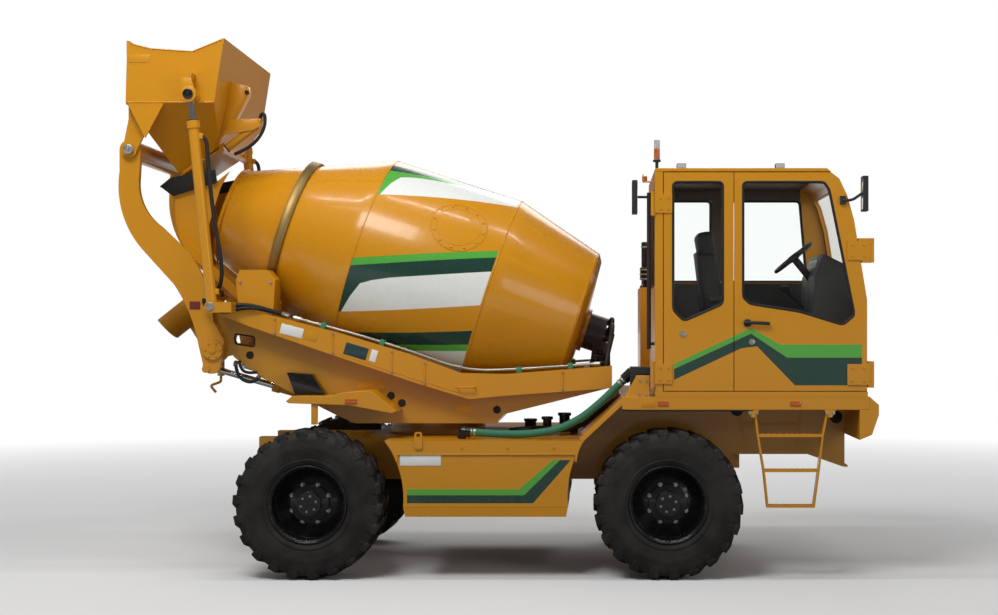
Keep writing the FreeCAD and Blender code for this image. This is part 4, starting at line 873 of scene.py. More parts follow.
def take_over_castings() -> None:
    """Take over the CAD's own pieces with rounded edges, or only give them a finish."""
    bodies = {n: b for b, ns in frame["record"]["behaviour"]["bodies"].items() for n in ns}
    for finish, nodes in SKINS:
        for node in nodes.split():
            Maker().copy_of(node).piece(f"{node}_skin", bodies[node], finish, bevel=FINE_EDGES.get(node, EDGE),
                                        stands_for=[node], outward=False)
    for finish, nodes in DRESSED:
        for node in nodes.split():
            mesh = frame["nodes"][node].data
            mesh.materials.clear()
            mesh.materials.append(Maker.palette[finish])


@dataclass
class Wheel:
    """A rim with its studs, and a tyre with bar lugs."""

    end: End
    side: Side
    lugs: int = 22
    lug_tall: float = 0.026
    studs: int = 8
    stud_circle: float = 0.148

    @property
    def centre(self) -> Vector:
        """The wheel's centre."""
        return Vector((self.end.value * WHEELBASE / 2, self.side.value * TRACK / 2, TYRE_R))

    @property
    def label(self) -> str:
        """The wheel's part of the nodes' names."""
        return f"{self.end.name.lower()}_{self.side.name.lower()}"

    def build(self) -> None:
        """Make the tyre, the rim and what is bolted to it."""
        self.tyre()
        self.rim()

    def tyre(self) -> None:
        """Turn the carcass and set the lugs on it."""
        half, base = TYRE_W / 2, TYRE_R - self.lug_tall
        outline = [(0.2865, 0.186), (0.3, 0.192), (0.318, 0.206), (0.33, 0.2085), (0.334, 0.2145), (0.345, 0.2145),
                   (0.349, 0.2105), (0.375, 0.2165), (0.42, half - 0.0035), (0.432, half - 0.001),
                   (0.444, half - 0.0035), (0.48, 0.2155), (0.515, 0.208), (base - 0.006, 0.194), (base, 0.176),
                   (base + 0.003, 0.09), (base + 0.004, 0.0)]
        outer = [(r, -y) for r, y in outline] + [(r, y) for r, y in reversed(outline[:-1])]
        lining = [(0.2865, 0.15), (0.41, 0.185), (base - 0.05, 0.15)]
        inner = lining + [(r, -y) for r, y in reversed(lining)]
        maker = Maker().turned(outer + inner, self.centre, (0, 1, 0), 112, True)
        self.add_lugs(maker, base)
        maker.piece(f"tyre_{self.label}_tread", f"wheel_{self.label}", Finish.TYRE, smooth=40.0,
                    stands_for=[f"tyre_{self.label}"])

    def add_lugs(self, maker: Maker, base: float) -> None:
        """Set slanted bar lugs round the carcass, the two rows half a pitch apart.

        Args:
            maker: the tyre's mesh.
            base: the carcass's radius between the lugs.
        """
        for hand in (1, -1):
            known = set(maker.bm.verts)
            self.add_lug(maker, base, hand)
            grown = [v for v in maker.bm.verts if v not in known]
            turn = Matrix.Rotation(hand * math.pi / self.lugs / 2, 4, "Y")
            bmesh.ops.transform(maker.bm, matrix=Matrix.Translation(self.centre) @ turn, verts=grown)
            edges = dict.fromkeys(e for v in grown for e in v.link_edges)
            faces = dict.fromkeys(f for v in grown for f in v.link_faces)
            bmesh.ops.spin(maker.bm, geom=[*grown, *edges, *faces], cent=self.centre, axis=(0, 1, 0),
                           steps=self.lugs - 1, angle=2 * math.pi * (self.lugs - 1) / self.lugs, use_duplicate=True)

    def add_lug(self, maker: Maker, base: float, hand: int) -> None:
        """Make one lug at the top of a wheel that stands at the origin: a slanted bar and its shoulder block.

        Args:
            maker: the tyre's mesh.
            base: the carcass's radius between the lugs.
            hand: the side of the tyre, 1 or -1.
        """
        bar = bmesh.ops.create_cube(maker.bm, size=1.0)["verts"]
        for v in bar:
            outer, shoulder = v.co.z > 0, v.co.y * hand > 0
            wide = (0.086 if shoulder else 0.06) * (0.84 if outer else 1.0)
            across = (0.203 if outer else 0.212) if shoulder else 0.01
            along = v.co.x * wide + (0.0 if shoulder else 0.08 * hand)
            reach = TYRE_R - (0.004 if shoulder else 0.0) if outer else base - 0.02
            v.co = Vector((along, across * hand, math.sqrt(reach ** 2 - along ** 2)))
        block = bmesh.ops.create_cube(maker.bm, size=1.0)["verts"]
        for v in block:
            outer, far = v.co.z > 0, v.co.y * hand > 0
            across = (0.2055 if outer else 0.2165) if far else 0.19
            v.co = Vector((v.co.x * (0.074 if outer else 0.05), hand * across, TYRE_R - 0.01 if outer else 0.482))
        maker.round_off(bar + block, 0.004, steps=1)

    def rim(self) -> None:
        """Take over the rim, and add its studs, nuts and hub bolts."""
        label, body = self.label, f"wheel_{self.label}"
        Maker().copy_of(f"rim_{label}").piece(f"rim_{label}_disc", body, Finish.BLACK, bevel=0.003,
                                              stands_for=[f"rim_{label}"], outward=False)
        out = Vector((0, self.side.value, 0))
        nuts, hub = Maker(), Maker()
        for x, z in ring_points(self.studs, self.stud_circle, math.pi / 8):
            base = self.centre + Vector((x, 0, z)) + out * 0.06
            for low, high, radius, sides, bevel in ((-0.02, 0.006, 0.02, 20, 0.0), (0.006, 0.026, 0.0155, 6, 0.001),
                                                    (0.026, 0.036, 0.009, 12, 0.0)):
                nuts.rod(base + out * low, base + out * high, radius, sides=sides, bevel=bevel)
        nuts.piece(f"wheel_nuts_{label}", body, Finish.ZINC)
        for x, z in ring_points(6, 0.06, 0.3):
            hub.bolt(self.centre + Vector((x, 0, z)) + out * 0.15, out, 0.008, 0.009)
        hub.piece(f"hub_bolts_{label}", body, Finish.ZINC)


BEAM_TOP_LINE = ((-2.173, 2.141), (-1.987, 2.088), (-1.19, 1.881), (-0.64, 1.716), (-0.239, 1.567), (0.115, 1.559),
                 (0.948, 1.622))
BEAM_UNDER_LINE = ((-2.134, 2.025), (-1.892, 1.931), (-1.19, 1.69), (-0.563, 1.48), (-0.171, 1.362), (0.089, 1.388),
                   (0.948, 1.449))


@dataclass
class DrumTrim:
    """Weld beads, the bright roller track and the bolted manhole covers."""

    radius: float = 0.857
    mouth: float = 0.38
    rear_cone: float = 1.203
    body_length: float = 1.08
    front_cone: float = 0.745
    front_radius: float = 0.64
    ring_at: float = 0.638
    ring_width: float = 0.07
    ring_rim: float = 0.6414
    hatch_at: float = 0.703
    hatch_turn: float = math.radians(34)
    hatch_radius: float = 0.225

    def outward(self, turn: float) -> Vector:
        """The direction out of the drum, turned up from the vehicle's right side."""
        return Vector(OUT) * math.cos(turn) + Vector(DRUM_UP) * math.sin(turn)

    def spot(self, along: float, out: float, turn: float) -> Vector:
        """A point from the drum's hub, in its own frame."""
        return Vector(DRUM_HUB) + Vector(DRUM_AXIS) * along + self.outward(turn) * out

    def build(self) -> None:
        """Make the drum's pieces."""
        self.beads()
        self.track()
        self.hatch(1)
        self.hatch(-1)

    def beads(self) -> None:
        """Lay a weld bead at each joint of the shells, and one along each shell."""
        maker = Maker()
        third = self.front_radius + (self.radius - self.front_radius) * 0.02
        for along, out in ((0.0, self.radius), (self.body_length, self.radius),
                           (self.body_length + self.front_cone * 0.98, third)):
            maker.turned([(out + r, along + d) for r, d in ring_points(8, 0.0045)], DRUM_HUB, DRUM_AXIS, 96, True)
        turn = math.radians(-48)
        maker.pipe([self.spot(a, self.radius, turn) for a in (0.0, 0.5, self.body_length)], 0.003, 8)
        rear = self.radius + (self.mouth - self.radius) * 0.44
        maker.pipe([self.spot(0.0, self.radius, -turn), self.spot(-self.rear_cone * 0.44, rear, -turn)], 0.003, 8)
        maker.piece("drum_weld_beads", "drum", Finish.BODY, smooth=60)

    def track(self) -> None:
        """Cover the roller ring with its bright running face and its painted flanks' edges."""
        half = self.ring_width / 2 + 0.0012
        foot = self.radius + (self.mouth - self.radius) * self.ring_at / self.rear_cone
        rim, low, high = self.ring_rim, -self.ring_at - half, -self.ring_at + half
        profile = [(foot, low), (rim - 0.004, low), (rim, low + 0.004), (rim, high - 0.004), (rim - 0.004, high),
                   (foot, high)]
        Maker().turned(profile, DRUM_HUB, DRUM_AXIS, 128, True).piece("roller_track", "drum", Finish.WORN, smooth=50)

    def hatch(self, side: int) -> None:
        """Lay a manhole's outline on the shell with its bolts.

        Args:
            side: 1 for the cover that faces up on the right, -1 for the one opposite.
        """
        maker, bolts = Maker(), Maker()
        base = self.hatch_turn if side > 0 else self.hatch_turn + math.pi
        for reach, lift, thick in ((self.hatch_radius, 0.001, 0.003), (self.hatch_radius - 0.048, 0.0005, 0.0016)):
            maker.pipe([self.spot(self.hatch_at + a, self.radius + lift, base + b / self.radius)
                        for a, b in ring_points(48, reach)], thick, 8, steps=2, closed=True)
        maker.piece(f"manhole_rim_{side % 3}", "drum", Finish.BODY, smooth=60)
        for a, b in ring_points(12, self.hatch_radius - 0.024):
            turn = base + b / self.radius
            bolts.bolt(self.spot(self.hatch_at + a, self.radius - 0.001, turn), self.outward(turn), 0.009, 0.009)
        bolts.piece(f"manhole_bolts_{side % 3}", "drum", Finish.BODY)


@dataclass
class TurretTrim:
    """What is bolted to the beams and side plates: pipes, clamps, ribs, plates, plugs and hoses."""

    pipe_ys: tuple = (-0.73, -0.765, -0.8)
    pipe_r: float = 0.011
    lift: float = 0.026
    rib_xs: tuple = (-1.694, -1.239, -0.777, -0.518, 0.56)

    def build(self) -> None:
        """Make the turret's pieces."""
        self.pipes()
        self.ribs()
        self.plates()
        self.plugs()
        self.painted_shade_slab()
        self.hoses()
        self.motor_hoses()
        self.guards()

    def pipes(self) -> None:
        """Run the steel pipes over the beams, with their clamps."""
        pipes, clamps = Maker(), Maker()
        for y in self.pipe_ys:
            path = [Vector((x, y, level_at(BEAM_TOP_LINE, x) + self.lift))
                    for x in (-1.558, -1.19, -0.64, -0.239, 0.115, 0.854)]
            pipes.pipe(path, self.pipe_r, 12, 8)
            for end, run in ((path[0], (0.05, 0, -0.013)), (path[-1], (-0.05, 0, -0.004))):
                pipes.rod(end, end + Vector(run), 0.016, sides=6)
        for x, lean in ((-1.322, 14.5), (-0.86, 16.6), (0.217, -4.3), (0.62, -4.3)):
            z = level_at(BEAM_TOP_LINE, x) + self.lift
            clamps.plate((x, self.pipe_ys[1], z - 0.003), (0.04, 0.115, 0.046), lean, 0.004)
            for y in (-0.7475, -0.7825):
                clamps.bolt((x, y, z + 0.018), UP, 0.007, 0.008)
        pipes.mirrored().piece("beam_pipework", "turret", Finish.ZINC)
        clamps.mirrored().piece("pipe_clamps", "turret", Finish.CLAMP)

    def ribs(self) -> None:
        """Weld upright ribs to the beams' outer faces, each with two bright bolts."""
        ribs, bolts = Maker(), Maker()
        for x in self.rib_xs:
            top, low = level_at(BEAM_TOP_LINE, x), level_at(BEAM_UNDER_LINE, x)
            ribs.block((x - 0.006, BEAM_FACE - 0.007, low + 0.006), (x + 0.006, BEAM_FACE + 0.001, top - 0.006), 0.002)
            bolts.side_bolts(BEAM_FACE - 0.006, ((x, top - 0.022), (x, low + 0.022)), 0.007, 0.01)
        for along in ((-1.187, -0.64), (-0.637, -0.242)):
            ribs.side_pipe(BEAM_FACE - 0.0005, [(x, level_at(BEAM_UNDER_LINE, x) + 0.03) for x in along], 0.0035)
        ribs.mirrored().piece("beam_ribs", "turret", Finish.BODY)
        bolts.mirrored().piece("beam_rib_bolts", "turret", Finish.ZINC)

    def plates(self) -> None:
        """Fix the blank plates and labels on the near beam, and the beams' handles."""
        for name, finish, x, z, wide, tall, lean in (
                ("plate_white", Finish.PLATE, -1.562, 1.897, 0.18, 0.078, 14.5),
                ("plate_relief", Finish.BODY, -1.409, 1.857, 0.092, 0.066, 14.5),
                ("plate_dark", Finish.PLATE_DARK, -1.059, 1.738, 0.182, 0.094, 16.6),
                ("plate_strip", Finish.PLATE, -0.921, 1.702, 0.052, 0.094, 16.6)):
            Maker().plate((x, BEAM_FACE - 0.0015, z), (wide, 0.003, tall), lean).piece(name, "turret", finish)
        reliefs = Maker()
        for x0, x1, z0, z1 in ((-1.065, -0.858, 1.429, 1.508), (-0.288, -0.161, 1.246, 1.318)):
            reliefs.block((x0, PLATE_FACE - 0.004, z0), (x1, PLATE_FACE, z1), 0.0015)
            middle = (z0 + z1) / 2
            reliefs.side_pipe(PLATE_FACE - 0.004, ((x0 + 0.008, middle), (x1 - 0.008, middle)), 0.002)
        reliefs.piece("relief_labels", "turret", Finish.BODY)
        bends = ((-0.262, 0.0), (-0.262, 0.036), (-0.25, 0.04), (-0.14, 0.04), (-0.128, 0.036), (-0.128, 0.0))
        Maker().pipe([(x, BEAM_FACE - out, 1.457) for x, out in bends], 0.007).mirrored().piece(
            "beam_handle", "turret", Finish.BODY)

    def plugs(self) -> None:
        """Close the side plates' access holes with rubber plugs, and line the long slot."""
        maker = Maker()
        for x, z in ((-1.921, 1.706), (-0.803, 1.384), (-0.716, 1.326), (0.037, 1.272)):
            maker.boss((x, PLATE_FACE + 0.01, z), 0.014, 0.031, bevel=0.002)
        slot = [(-2.04, 1.795), (-2.04, 1.875), (-1.885, 1.85), (-1.885, 1.77)]
        maker.pipe(rounded_path(slot, 0.045, PLATE_FACE), 0.006, 10, closed=True)
        maker.mirrored().piece("side_plate_plugs", "turret", Finish.RUBBER)

    def painted_shade_slab(self) -> None:
        """Lay a black parallelogram slab, with its bolts, over the wings' brackets: painted shade where the brackets
        are in shade.
        """
        maker = Maker().slab(-0.853, 0.152, [(-1.6, 1.571), (-1.41, 1.556), (-1.291, 1.378), (-1.526, 1.368)], 0.002)
        maker.side_bolts(-0.853, ((-1.555, 1.535), (-1.43, 1.528), (-1.5, 1.41), (-1.35, 1.405)), 0.009, 0.01)
        maker.mirrored().piece("wing_bracket_painted_shade", "turret", Finish.BLACK)

    def hoses(self) -> None:
        """Lead the loader's hoses from the beams' tails to the arms' pivots and the lift rods."""
        maker, ends = Maker(), Maker()
        for radius, *path in (
                (0.017, (-2.238, -0.89, 2.15), (-2.25, -0.885, 2.09), (-2.13, -0.88, 2.06), (-1.96, -0.88, 2.11),
                 (-1.78, -0.866, 2.075), (-1.6, -0.8, 2.014)),
                (0.014, (-2.19, -0.905, 2.16), (-2.2, -0.895, 2.075), (-2.08, -0.89, 2.035), (-1.93, -0.89, 2.085),
                 (-1.76, -0.86, 2.06), (-1.6, -0.765, 2.02)),
                (0.014, (-2.03, -0.72, 1.64), (-2.02, -0.735, 1.56), (-1.96, -0.735, 1.5), (-1.88, -0.735, 1.49),
                 (-1.85, -0.72, 1.53)),
                (0.012, (-2.0, -0.72, 1.66), (-1.99, -0.745, 1.6), (-1.93, -0.745, 1.56), (-1.86, -0.722, 1.57))):
            maker.pipe(path, radius)
        maker.mirrored().piece("loader_hoses", "turret", Finish.HOSE_BLACK, smooth=60)
        for tip, back in (((-1.6, -0.8, 2.014), (-1.65, -0.82, 2.034)), ((-1.6, -0.765, 2.02), (-1.65, -0.79, 2.036)),
                          ((-2.03, -0.7, 1.65), (-2.03, -0.735, 1.628)),
                          ((-1.85, -0.7, 1.535), (-1.852, -0.73, 1.522))):
            ends.rod(tip, back, 0.019, sides=6, bevel=0.001)
        ends.mirrored().piece("hose_ends", "turret", Finish.ZINC)

    def motor_hoses(self) -> None:
        """Dress the drum's motor with its flange bolts, valve blocks and hoses."""
        axis = Vector(DRUM_AXIS)
        face = Vector(DRUM_HUB) + axis * 1.9155
        bolts, block, hoses = Maker(), Maker(), Maker()
        for a, b in ring_points(12, 0.132):
            bolts.bolt(face + axis * 0.15 + Vector(OUT) * a + Vector(DRUM_UP) * b, axis, 0.01, 0.01)
        bolts.piece("gearbox_bolts", "turret", Finish.ZINC)
        block.block((0.8, -0.33, 1.592), (0.93, -0.19, 1.7), 0.006)
        block.block((0.77, -0.56, 1.59), (0.92, -0.4, 1.65), 0.006)
        block.rod((0.86, -0.26, 1.7), (0.86, -0.26, 1.745), 0.026, bevel=0.003)
        block.rod((0.82, -0.48, 1.65), (0.82, -0.48, 1.7), 0.022, bevel=0.003)
        block.mirrored().piece("valve_blocks", "turret", Finish.BLACK)
        for y, rise, far in ((-0.2, 0.1, -0.52), (-0.27, 0.05, -0.62), (-0.32, 0.14, -0.72), (-0.24, 0.19, -0.42)):
            hoses.pipe([(0.925, y * 0.4, 1.76 + rise), (0.965, y, 1.84 + rise),
                        (0.945, (y + far) / 2, 1.79 + rise / 2), (0.915, far, 1.7), (0.9, far, 1.61)], 0.017)
        hoses.piece("drum_motor_hoses", "turret", Finish.HOSE_BLACK, smooth=60)

    def guards(self) -> None:
        """Bolt the roller boxes' covers, and hang the hopper's skirt and the tail's clevis pins."""
        bolts, pins = Maker(), Maker()
        bolts.side_bolts(-0.81, ((-1.975, 2.1), (-1.975, 2.28), (-1.745, 2.03), (-1.735, 2.28)), 0.01, 0.012)
        bolts.mirrored().piece("roller_box_bolts", "turret", Finish.ZINC)
        skirt = Maker().slab(-0.464, 0.013, ((-2.7, 3.062), (-2.61, 3.135), (-2.252, 3.2), (-2.236, 3.098),
                                             (-2.59, 2.985)), 0.002)
        skirt.side_bolts(-0.464, ((-2.56, 3.035), (-2.45, 3.055), (-2.34, 3.075), (-2.262, 3.09)), 0.009, 0.008)
        skirt.mirrored().piece("hopper_skirt", "turret", Finish.RUBBER)
        pins.boss((-2.155, -1.052, 2.084), 0.014, 0.034)
        pins.mirrored().piece("tilt_foot_caps", "turret", Finish.ZINC)


class LoaderTrim:
    """What is fixed to the arms, the bucket and the cylinders."""

    def build(self) -> None:
        """Make the loader's pieces."""
        self.arm_plates()
        self.cylinder_trim()
        self.bucket_trim()
        self.gate_gear()
        self.clevis_caps()

    def arm_plates(self) -> None:
        """Fix the arm's blank red label and its pivot's ring of bolts."""
        Maker().plate((-2.333, ARM_FACE - 0.0015, 2.098), (0.084, 0.003, 0.062)).piece(
            "arm_label", "arms", Finish.PLATE_RED)
        bolts, caps = Maker(), Maker()
        x, z = -2.191, 1.747
        bolts.side_bolts(ARM_FACE - 0.022, [(x + a, z + b) for a, b in ring_points(6, 0.058)], 0.008, 0.009)
        bolts.boss((x, ARM_FACE - 0.022, z), 0.008, 0.03, bevel=0.002)
        bolts.mirrored().piece("arm_pivot_bolts", "arms", Finish.BODY)
        caps.boss((-2.844, -0.85, 3.321), 0.012, 0.04)
        caps.bolt((-2.844, -0.862, 3.321), OUT)
        caps.mirrored().piece("bucket_pin_caps", "bucket_pins", Finish.ZINC)

    def cylinder_trim(self) -> None:
        """Add the tilt cylinders' port blocks, seals and the hoses along their tubes."""
        way = (TILT_EYE - TILT_FOOT).normalized()
        low, top = (TILT_FOOT + way * along for along in (0.12, 1.33))
        seals, ports, hoses = Maker(), Maker(), Maker()
        seals.collar(TILT_FOOT, way, 0.027, 0.046, 1.4505, 1.458)
        seals.mirrored().piece("tilt_gland_seals", "tilt_barrels", Finish.RUBBER)
        for port in (low, top):
            at = port + Vector((0.052, 0, 0))
            ports.block(at - Vector((0.02, 0.02, 0.022)), at + Vector((0.016, 0.02, 0.022)))
        ports.mirrored().piece("tilt_port_blocks", "tilt_barrels", Finish.BODY)
        for radius, *path in (
                (0.016, (top, 0.06, 0, 0), (top, 0.095, 0, -0.02), (top, 0.098, 0, -0.12),
                 ((top + low) / 2, 0.08, 0, 0), (low, 0.105, 0.03, 0.1), (low, 0.04, 0.085, 0.02)),
                (0.014, (low, 0.06, 0, 0), (low, 0.1, 0.01, 0.01), (low, 0.07, 0.09, -0.03))):
            hoses.pipe([port + Vector(shift) for port, *shift in path], radius)
        hoses.mirrored().piece("tilt_hoses", "tilt_barrels", Finish.HOSE_BLACK, smooth=60)

    def bucket_trim(self) -> None:
        """Bolt the cutting edge, lay the folded rims, and raise the side's blank label."""
        bolts, beads = Maker(), Maker()
        for i in range(7):
            bolts.bolt((-2.837, -0.78 + 0.26 * i, 4.12), (-1, 0, 0), 0.012, 0.009)
        bolts.piece("cutting_edge_bolts", "bucket", Finish.BODY)
        for x0, z0, x1, z1 in ((-2.845, 3.68, -2.155, 3.68), (-2.812, 4.137, -2.64, 4.096),
                               (-2.64, 4.096, -2.327, 4.076), (-2.327, 4.076, -2.09, 4.17)):
            middle = ((x0 + x1) / 2, (z0 + z1) / 2)
            beads.side_pipe(BUCKET_FACE, ((x0 + 0.004, z0), middle, (x1 - 0.004, z1)), 0.005)
        beads.mirrored().piece("bucket_weld_beads", "bucket", Finish.BODY, smooth=60)
        label = Maker().block((-2.82, BUCKET_FACE - 0.003, 3.99), (-2.65, BUCKET_FACE, 4.05), 0.001)
        label.piece("bucket_relief_label", "bucket", Finish.BODY)

    def gate_gear(self) -> None:
        """Stand the gate's bracket and cylinder on the bucket's back, with its hose."""
        near, far, middle = -0.5, -0.45, -0.475
        webs, seals, hoses = Maker(), Maker(), Maker()
        webs.slab(near, far - near, ((-2.122, 3.905), (-1.985, 3.862), (-1.972, 3.8), (-2.105, 3.56), (-2.222, 3.4),
                                     (-2.155, 3.68)), 0.004)
        webs.slab(near - 0.012, 0.074, ((-1.992, 3.868), (-1.972, 3.86), (-1.96, 3.8), (-2.098, 3.552),
                                        (-2.112, 3.562), (-1.98, 3.802)))
        webs.rod((-1.905, middle, 3.556), (-2.15, middle, 3.372), 0.034, bevel=0.004)
        webs.slab(near - 0.02, 0.012, ((-2.12, 3.6), (-1.9, 3.6), (-1.88, 3.545), (-1.925, 3.512), (-2.18, 3.47)))
        webs.block((-1.935, near - 0.002, 3.56), (-1.875, far + 0.002, 3.606))
        seals.rod((-2.15, middle, 3.372), (-2.158, middle, 3.366), 0.038, bevel=0.002)
        seals.bolt((-1.985, near - 0.012, 3.815), OUT, 0.014, 0.014)
        hoses.pipe([(-1.89, middle, 3.6), (-1.872, middle - 0.02, 3.655), (-1.835, middle - 0.03, 3.63),
                    (-1.85, middle - 0.03, 3.5), (-1.96, middle - 0.02, 3.37), (-2.09, middle - 0.01, 3.32)], 0.014)
        webs.piece("gate_brackets", "bucket", Finish.BODY)
        seals.piece("gate_seals", "bucket", Finish.BLACK)
        hoses.piece("gate_hoses", "bucket", Finish.HOSE_BLACK, smooth=60)

    def clevis_caps(self) -> None:
        """Cap the tilt rods' clevises with a raised strap, and end their pins in dark collars."""
        x, y, z = -2.325, -1.045, 3.727
        straps, pins = Maker(), Maker()
        straps.slab(y - 0.008, 0.008, ((x - 0.06, z), (x - 0.06, z + 0.124), (x + 0.022, z + 0.124), (x + 0.06, z)),
                    0.002)
        straps.boss((x, y, z), 0.012, 0.062, 48)
        pins.boss((x, y - 0.012, z), 0.012, 0.04, 32)
        pins.bolt((x, y - 0.024, z), OUT, 0.014)
        straps.mirrored().piece("tilt_clevis_straps", "bucket", Finish.BODY)
        pins.mirrored().piece("tilt_clevis_pins", "bucket", Finish.BLACK)


class CabTrim:
    """Seals, lining, door hardware, mirrors' glass, lamps and controls."""

    windows = (
        ("door_front", ((1.942, 3.033), (2.56, 3.033), (2.6, 2.972), (2.792, 2.02), (2.703, 1.944), (2.375, 2.045),
                        (1.995, 2.104), (1.942, 2.157))),
        ("door_rear", ((1.409, 3.033), (1.789, 3.033), (1.789, 2.104), (1.492, 1.974), (1.409, 2.058))),
    )
    far_windows = (((1.42, 2.312), (1.8, 2.312), (1.8, 3.0), (1.42, 3.0)),
                   ((1.9, 2.312), (2.62, 2.312), (2.56, 3.0), (1.9, 3.0)))
    corner = 0.075
    far_inner = 0.29
    bead = 0.0115

    def build(self) -> None:
        """Make the cab's pieces."""
        self.seals()
        self.lining()
        self.hardware()
        self.mirrors()
        self.lights()
        self.labels()
        self.controls()
        self.fittings()

    def seals(self) -> None:
        """Set a rubber seal round every pane."""
        for door, window in self.windows:
            Maker().pipe(rounded_path(window, self.corner, NEAR + 0.007), self.bead, 10, closed=True).piece(
                f"{door}_seal", door, Finish.RUBBER, smooth=60)
        far = Maker()
        for window in self.far_windows:
            for deep, radius in ((0.034, self.bead), (0.002, 0.008)):
                far.pipe(rounded_path(window, self.corner, self.far_inner + deep), radius, 10, closed=True)
        back = rounded_path([(-1.05, 2.25), (0.2, 2.25), (0.2, 2.98), (-1.05, 2.98)], self.corner, 0.0)
        far.pipe([(1.276, y, z) for y, _, z in back], self.bead, 10, closed=True)
        far.piece("cab_window_seals", "chassis", Finish.RUBBER, smooth=60)

    def lining(self) -> None:
        """Line the far wall, the rear wall and the roof inside."""
        upper, lower = Maker(), Maker()
        y0, y1 = self.far_inner - 0.006, self.far_inner - 0.0005
        for low, high, bevel in (
                ((1.32, y0, 3.004), (2.56, y1, 3.108), 0.001), ((1.804, y0, 2.316), (1.896, y1, 3.003), 0.001),
                ((1.32, y0, 2.3), (1.416, y1, 3.003), 0.001), ((1.33, -1.13, 3.092), (2.56, 0.28, 3.106), 0.002),
                ((1.3125, -1.05, 2.984), (1.3185, 0.27, 3.09), 0.001)):
            upper.block(low, high, bevel)
        upper.piece("cab_lining_upper", "chassis", Finish.LINING)
        lower.block((1.32, y0, 1.46), (2.84, y1, 2.299), 0.001)
        lower.block((1.3125, -1.13, 1.46), (1.3185, 0.27, 2.246), 0.001)
        lower.piece("cab_lining_lower", "chassis", Finish.PLASTIC)

    def hardware(self) -> None:
        """Fit the doors' locks and hinge bolts, and the front door's handle."""
        for door, x, z in (("door_front", 2.01, 1.815), ("door_rear", 1.485, 1.875)):
            maker = Maker().boss((x, NEAR, z), 0.007, 0.024, bevel=0.002)
            maker.boss((x, NEAR - 0.007, z), 0.004, 0.012, bevel=0.001)
            maker.piece(f"{door}_lock", door, Finish.ZINC)
        handle = Maker().boss((1.975, NEAR, 1.959), 0.02, 0.03, bevel=0.004)
        grip = ((1.95, 0.024, 1.96), (1.975, 0.03, 1.962), (2.05, 0.032, 1.96), (2.12, 0.028, 1.956),
                (2.142, 0.022, 1.954))
        handle.pipe([(x, NEAR - out, z) for x, out, z in grip], 0.0125)
        handle.piece("door_handle", "door_front", Finish.PLASTIC, smooth=50)
        for door, xs, spans in (("door_front", (2.77, 2.86), ((2.439, 2.584), (1.487, 1.647))),
                                ("door_rear", (1.312, 1.372), ((2.797, 2.941), (1.495, 1.647)))):
            spots = [(x, z) for low, high in spans for x in xs for z in (low + 0.03, high - 0.03)]
            Maker().side_bolts(NEAR - 0.012, spots, 0.008, 0.007).piece(f"{door}_hinge_bolts", door, Finish.BODY)

    def mirrors(self) -> None:
        """Set the glass into both mirror heads."""
        for node, body, low, high in (("mirror_front", "door_front", (2.8435, -1.288, 2.822), (2.8455, -1.182, 3.06)),
                                      ("mirror_rear", "chassis", (1.1395, -1.136, 2.814), (1.1415, -0.984, 3.04))):
            Maker().block(low, high, 0.0006).piece(f"{node}_glass", body, Finish.MIRROR)

    def lights(self) -> None:
        """Face the lamps, and stand the beacon and the marker lamp behind the cab."""
        lenses, hoods = Maker(), Maker()
        for x in (1.475, 2.228):
            lenses.block((x - 0.028, NEAR + 0.0275, 3.144), (x + 0.028, NEAR + 0.0305, 3.17), 0.001)
            hoods.block((x - 0.036, NEAR + 0.032, 3.1395), (x + 0.036, NEAR + 0.094, 3.1785), 0.006)
        lenses.piece("work_lamp_lenses", "chassis", Finish.CLEAR)
        x, y = 1.29, -1.1
        hoods.rod((x, y, 3.14), (x, y, 3.205), 0.0125)
        hoods.rod((x, y, 3.196), (x, y, 3.214), 0.03, bevel=0.003)
        hoods.piece("lamp_hoods", "chassis", Finish.PLASTIC)
        Maker().rod((x, y, 3.214), (x, y, 3.362), 0.0235, tip=0.021, bevel=0.006).piece(
            "beacon_lens", "chassis", Finish.AMBER)
        bracket = Maker().block((1.18, -1.12, 3.04), (1.272, -1.075, 3.048), 0.001)
        bracket.block((1.18, -1.12, 3.04), (1.188, -1.075, 3.1), 0.001)
        bracket.piece("marker_bracket", "chassis", Finish.BODY)
        marker = Maker().rod((1.196, -1.098, 3.048), (1.196, -1.098, 3.088), 0.02, bevel=0.004)
        marker.piece("marker_lamp", "chassis", Finish.AMBER)

    def labels(self) -> None:
        """Fix the reflectors and the blank label on the sills, and rim the head lamps."""
        amber, relief, rims = Maker(), Maker(), Maker()
        for x in (1.292, 2.3):
            amber.block((x, NEAR - 0.009, 1.325), (x + 0.082, NEAR, 1.361))
        amber.mirrored().piece("side_reflectors", "chassis", Finish.AMBER)
        Maker().block((-1.113, -1.068, 1.335), (-1.02, -1.06, 1.372), 0.003).mirrored().piece(
            "wing_reflectors", "turret", Finish.AMBER)
        relief.block((1.173, NEAR - 0.004, 1.318), (1.272, NEAR, 1.366), 0.0015)
        relief.block((1.183, NEAR - 0.006, 1.34), (1.262, NEAR - 0.003, 1.344), 0.0008)
        relief.piece("sill_relief_label", "chassis", Finish.BODY)
        for y in (-0.96, 0.96):
            rims.turned([(0.034, 0.0), (0.046, 0.0), (0.046, 0.008), (0.034, 0.0095)], (2.977, y, 1.297), (1, 0, 0),
                        closed=True)
        rims.piece("head_lamp_rims", "chassis", Finish.PLASTIC)

